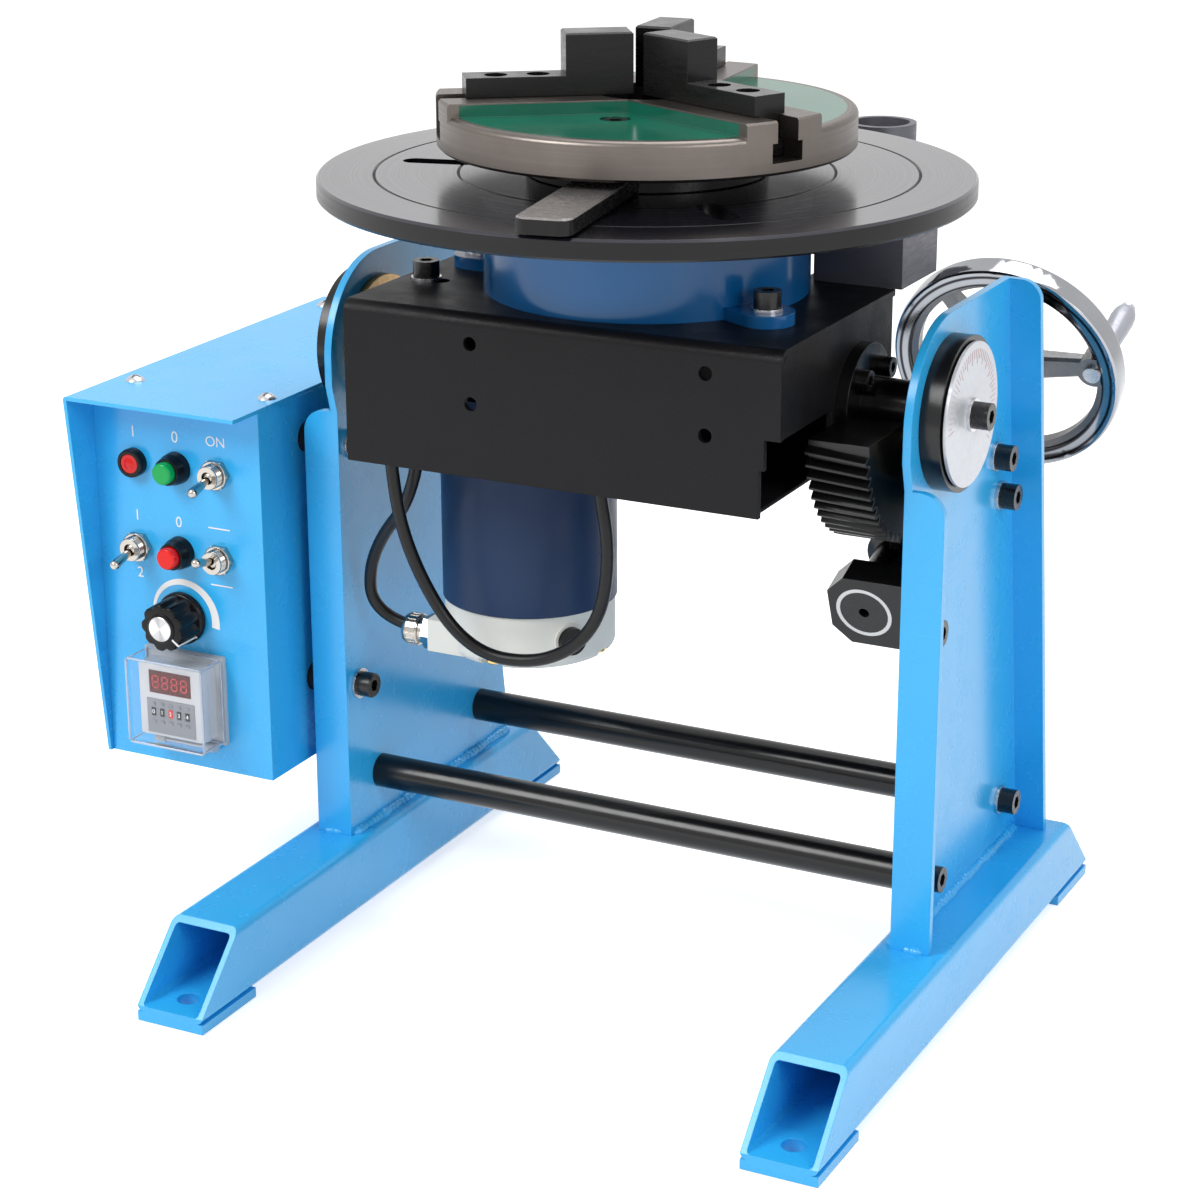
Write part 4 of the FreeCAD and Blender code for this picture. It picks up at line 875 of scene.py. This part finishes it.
def panelCollars():    # round the two buttons, and a lower one round the pilot lamp
    look = collars
    columns, rows = panel["columns"], panel["rows"]
    bore, foot, nose, high = look["bore"], look["foot"], look["nose"], look["high"]
    rim = [(bore, 4.1), (8.1, 4.1), (7.9, 4.5), (nose + 0.3, high - 0.4), (nose - 0.1, high), (bore, high)]
    base = [(8.05, 0.0), (foot, 0.0), (foot - 0.05, 0.6), (8.1, 4.3), (8.05, 4.3)]
    hole, wide, top = look["pilotBore"], look["pilot"], look["pilotHigh"]
    lamp = [(hole, 3.05), (wide, 3.05), (wide - 0.1, top - 0.5), (wide - 0.6, top), (hole, top)]
    bm = bmesh.new()
    for x, z, sections in ((columns[1], rows[0], (rim, base)), (columns[1], rows[1], (rim, base)),
                           (columns[0], rows[0], (lamp,))):
        ringsAt(bm, sections, facing(at(x, panel["y"], z), (0, -1, 0)), 56)
    piece = toPiece(bm, "panelCollars", finishes["black_plastic"], "base", 30)


panelCollars()

threads = {"root": 5.85, "crest": 6.25, "pitch": 0.95, "from": 4.3, "to": 8.9, "washer": 7.7}


def toggleThreads():
    look = threads
    columns, rows = panel["columns"], panel["rows"]
    root, pitch, wide = look["root"], look["pitch"], look["washer"]
    count = int((look["to"] - look["from"]) / pitch)
    thread = [(root, look["from"])]
    for k in range(count):
        z = look["from"] + k * pitch
        thread += [(look["crest"], z + pitch * 0.4), (root + 0.03, z + pitch * 0.95)]
    thread += [(root, look["from"] + count * pitch)]
    washer = [(root, 3.05), (wide, 3.05), (wide, 3.8), (wide - 0.4, 4.2), (root, 4.2)]
    bm = bmesh.new()
    for x, z in ((columns[2], rows[0]), (columns[0], rows[1]), (columns[2], rows[1])):
        ringsAt(bm, (thread, washer), facing(at(x, panel["y"], z), (0, -1, 0)), 48)
    piece = toPiece(bm, "toggleThreads", finishes["chrome"], "base", 25)


toggleThreads()

timer = {
    "x": -229.0,
    "z": (101.5, 140.5),
    "wide": 38.6,
    "seat": -82.6,
    "faceY": -89.0,
    "screenZ": 131.5,
    "screen": (25.5, 0.7, 12.4),
    "digits": 4,
    "digitPitch": 5.8,
    "strokes": ((0, 3.2, 2.6, 0.7), (0, 0, 2.6, 0.7), (0, -3.2, 2.6, 0.7),    # x, z, width, height
                (-1.7, 1.6, 0.7, 2.3), (1.7, 1.6, 0.7, 2.3), (-1.7, -1.6, 0.7, 2.3), (1.7, -1.6, 0.7, 2.3)),
    "plateZ": 112.6,
    "plate": (29.5, 0.8, 19.0),
    "wheels": 5,
    "wheelZ": 115.0,
    "wheel": (2.6, 0.6, 4.4),
    "pitch": 5.2,
    "key": (2.6, 0.9, 1.9),
    "keyRises": (4.6, -5.2),
}


def timerFace():
    look = timer
    middle, face = look["x"], look["faceY"] + axisShift
    low, high = look["z"]
    front = ((look["wide"], look["seat"] - look["faceY"], high - low),
             (middle, (look["seat"] + look["faceY"]) / 2 + axisShift, (low + high) / 2), 0.6)
    digits = []
    for k in range(look["digits"]):
        x = middle + (k - (look["digits"] - 1) / 2) * look["digitPitch"]
        for dx, dz, wide, tall in look["strokes"]:
            digits.append(((wide, 0.16, tall), (x + dx, face - 0.5, look["screenZ"] + dz), 0.0))
    centreWheel = look["wheels"] // 2
    places = [middle + (k - centreWheel) * look["pitch"] for k in range(look["wheels"])]
    wheels = [(look["wheel"], (x, face - 0.6, look["wheelZ"]), 0.2) for x in places]
    redWheel = wheels.pop(centreWheel)
    keyRows = [look["wheelZ"] + rise for rise in look["keyRises"]]
    keys = [(look["key"], (x, face - 0.7, z), 0.35) for x in places for z in keyRows]
    screen = (look["screen"], (middle, face - 0.1, look["screenZ"]), 0.25)
    plate = (look["plate"], (middle, face - 0.1, look["plateZ"]), 0.3)
    numbers = bmesh.new()
    for k, x in enumerate(places):
        textPiece(numbers, str(k), 3.2, at(x, look["faceY"] - 0.97, look["wheelZ"]))
    pieces = [
        blockPiece("timerFront", "pale_plastic", "base", [front]),
        blockPiece("timerScreen", "display", "base", [screen]),
        blockPiece("timerDigits", "digit", "base", digits),
        blockPiece("timerPlate", "grey_plastic", "base", [plate]),
        blockPiece("timerWheels", "black_plastic", "base", wheels),
        blockPiece("timerRedWheel", "red_plastic", "base", [redWheel]),
        blockPiece("timerKeys", "grey_plastic", "base", keys),
        toPiece(numbers, "timerNumbers", finishes["white_print"], "base", 20, recalc=False),
    ]


timerFace()

coverLips = {
    "x": (-252.6, -205.4),
    "y": (-95.1, -76.1),
    "z": (97.4, 144.6),
    "thick": 1.15,
    "short": 2.4,    # how much shorter each edge is than its side
    "bevel": 0.4,
}


def coverEdges():    # the cover's moulded edges, as pale bars: partly their own milky plastic, partly a painted highlight
    look = coverLips
    thick, half, short, bevel = look["thick"], look["thick"] / 2, look["short"], look["bevel"]
    wide, deep, tall = (high - low for low, high in (look["x"], look["y"], look["z"]))
    midX, midY, midZ = ((low + high) / 2 for low, high in (look["x"], look["y"], look["z"]))
    sidesX, sidesY, sidesZ = ((low + half, high - half) for low, high in (look["x"], look["y"], look["z"]))
    edges = []
    for y in sidesY:
        edges += [((wide - short, thick, thick), (midX, y + axisShift, z), bevel) for z in sidesZ]
        edges += [((thick, thick, tall - short), (x, y + axisShift, midZ), bevel) for x in sidesX]
    for x in (sidesX[0] + 0.5, sidesX[1] - 0.5):
        for z in (sidesZ[0] + 0.5, sidesZ[1] - 0.5):
            edges.append(((thick, deep - short, thick), (x, midY + axisShift, z), bevel))
    piece = blockPiece("coverEdges", "milky_edge_highlight", bodyOf["timer_cover"], edges, 50)


coverEdges()
print("control panel done")

# angle dial
dial = {
    "x": 168.38,
    "radius": 32.5,
    "start": -20,
    "end": 200,
    "step": 5,
    "turn": 15,    # degrees, how far the scale is turned on the disc
    "long": 7.0,
    "short": 4.4,
    "inset": 1.6,
    "thick": 0.16,
    "line": 0.24,
}


def dialScale():
    look = dial
    bm = bmesh.new()
    centre = at(look["x"], 0, tiltAxisZ)
    for degree in range(look["start"], look["end"] + 1, look["step"]):
        length = look["long"] if degree % 15 == 10 else look["short"]
        a = math.radians(degree + look["turn"])
        middle = look["radius"] - look["inset"] - length / 2
        spot = centre + Vector((0, -math.cos(a) * middle, math.sin(a) * middle)) / 1000
        block(bm, (look["thick"], length, look["line"]), (0, 0, 0),
              Matrix.Translation(spot) @ Matrix.Rotation(-a, 4, "X"))
    piece = toPiece(bm, "dialScale", finishes["red_print"], "tilt_body", recalc=False)


dialScale()
print("dial done")

# studio
studio = {
    "floor": (0.88, 0.88, 0.88),
    "floorLift": 0.62,    # added where the floor is seen, so that it looks white
    "ambient": 0.42,    # the world's light on the object
    "lamps": (    # name, place in m, size in m, power in W
        ("key", (-1.1, -1.7, 1.9), 1.2, 42.0),
        ("side", (1.9, -0.9, 1.3), 1.0, 15.0),
        ("top", (0.1, 0.6, 2.1), 1.4, 20.0),
    ),
    "aim": (0.0, 0.0, 0.22),
    "floorSize": 12.0,
    "floorZ": -0.0005,
}
view = {    # angles in degrees
    "azimuth": 26.402,
    "elevation": 19.181,
    "sensor": 36.0,
    "lens": 89.04,
    "shift": (-0.02441, 0.00265),
    "clip": (0.05, 60.0),
    "spot": (617.5, -1263.0, 672.25),    # mm
}


def backgroundRays(tree, light):    # 1 where the background is seen, mirrored or seen through glass
    seen = calc(tree, "MAXIMUM", light.outputs["Is Camera Ray"], light.outputs["Is Glossy Ray"])
    return calc(tree, "MAXIMUM", seen, light.outputs["Is Transmission Ray"])


def studioFloor():
    bm = bmesh.new()
    bmesh.ops.create_grid(bm, x_segments=1, y_segments=1, size=studio["floorSize"])
    mesh = bpy.data.meshes.new("floor")
    bm.to_mesh(mesh)
    bm.free()
    floor = bpy.data.objects.new("floor", mesh)
    bpy.context.scene.collection.objects.link(floor)
    material = bpy.data.materials.new("pale floor")
    material.use_nodes = True
    tree = material.node_tree
    tree.nodes.clear()
    diffuse = tree.nodes.new("ShaderNodeBsdfDiffuse")
    diffuse.inputs[0].default_value = (*studio["floor"], 1)
    glow = tree.nodes.new("ShaderNodeEmission")
    light = tree.nodes.new("ShaderNodeLightPath")
    seen = backgroundRays(tree, light)
    tree.links.new(calc(tree, "MULTIPLY", seen, studio["floorLift"]), glow.inputs["Strength"])
    total = tree.nodes.new("ShaderNodeAddShader")
    output = tree.nodes.new("ShaderNodeOutputMaterial")
    tree.links.new(diffuse.outputs[0], total.inputs[0])
    tree.links.new(glow.outputs[0], total.inputs[1])
    tree.links.new(total.outputs[0], output.inputs[0])
    mesh.materials.append(material)
    floor.location.z = studio["floorZ"]


def studioWorld():
    world = bpy.data.worlds.new("studio")
    bpy.context.scene.world = world
    world.use_nodes = True
    tree = world.node_tree
    tree.nodes.clear()
    light = tree.nodes.new("ShaderNodeLightPath")
    back = tree.nodes.new("ShaderNodeBackground")
    output = tree.nodes.new("ShaderNodeOutputWorld")
    level = calc(tree, "MAXIMUM", backgroundRays(tree, light), studio["ambient"])
    back.inputs["Color"].default_value = (1, 1, 1, 1)
    tree.links.new(level, back.inputs["Strength"])
    tree.links.new(back.outputs[0], output.inputs[0])


def studioLamps():
    for name, spot, size, power in studio["lamps"]:
        lamp = bpy.data.lights.new(name, "AREA")
        lamp.shape = "SQUARE"
        lamp.size = size
        lamp.energy = power
        holder = bpy.data.objects.new(name, lamp)
        bpy.context.scene.collection.objects.link(holder)
        holder.location = spot
        holder.rotation_mode = "QUATERNION"
        holder.rotation_quaternion = (Vector(studio["aim"]) - Vector(spot)).to_track_quat("-Z", "Y")


def studioCamera():
    azimuth, elevation = math.radians(view["azimuth"]), math.radians(view["elevation"])
    back = Vector((math.sin(azimuth) * math.cos(elevation), -math.cos(azimuth) * math.cos(elevation),
                   math.sin(elevation)))
    data = bpy.data.cameras.new("camera")
    data.sensor_width = view["sensor"]
    data.lens = view["lens"]
    data.shift_x, data.shift_y = view["shift"]
    data.clip_start, data.clip_end = view["clip"]
    camera = bpy.data.objects.new("camera", data)
    bpy.context.scene.collection.objects.link(camera)
    camera.location = at(*view["spot"])
    camera.rotation_mode = "QUATERNION"
    camera.rotation_quaternion = (-back).to_track_quat("-Z", "Y")
    bpy.context.scene.camera = camera


studioFloor()
studioWorld()
studioLamps()
studioCamera()
bpy.context.scene.view_settings.view_transform = "Standard"
print("studio ready")
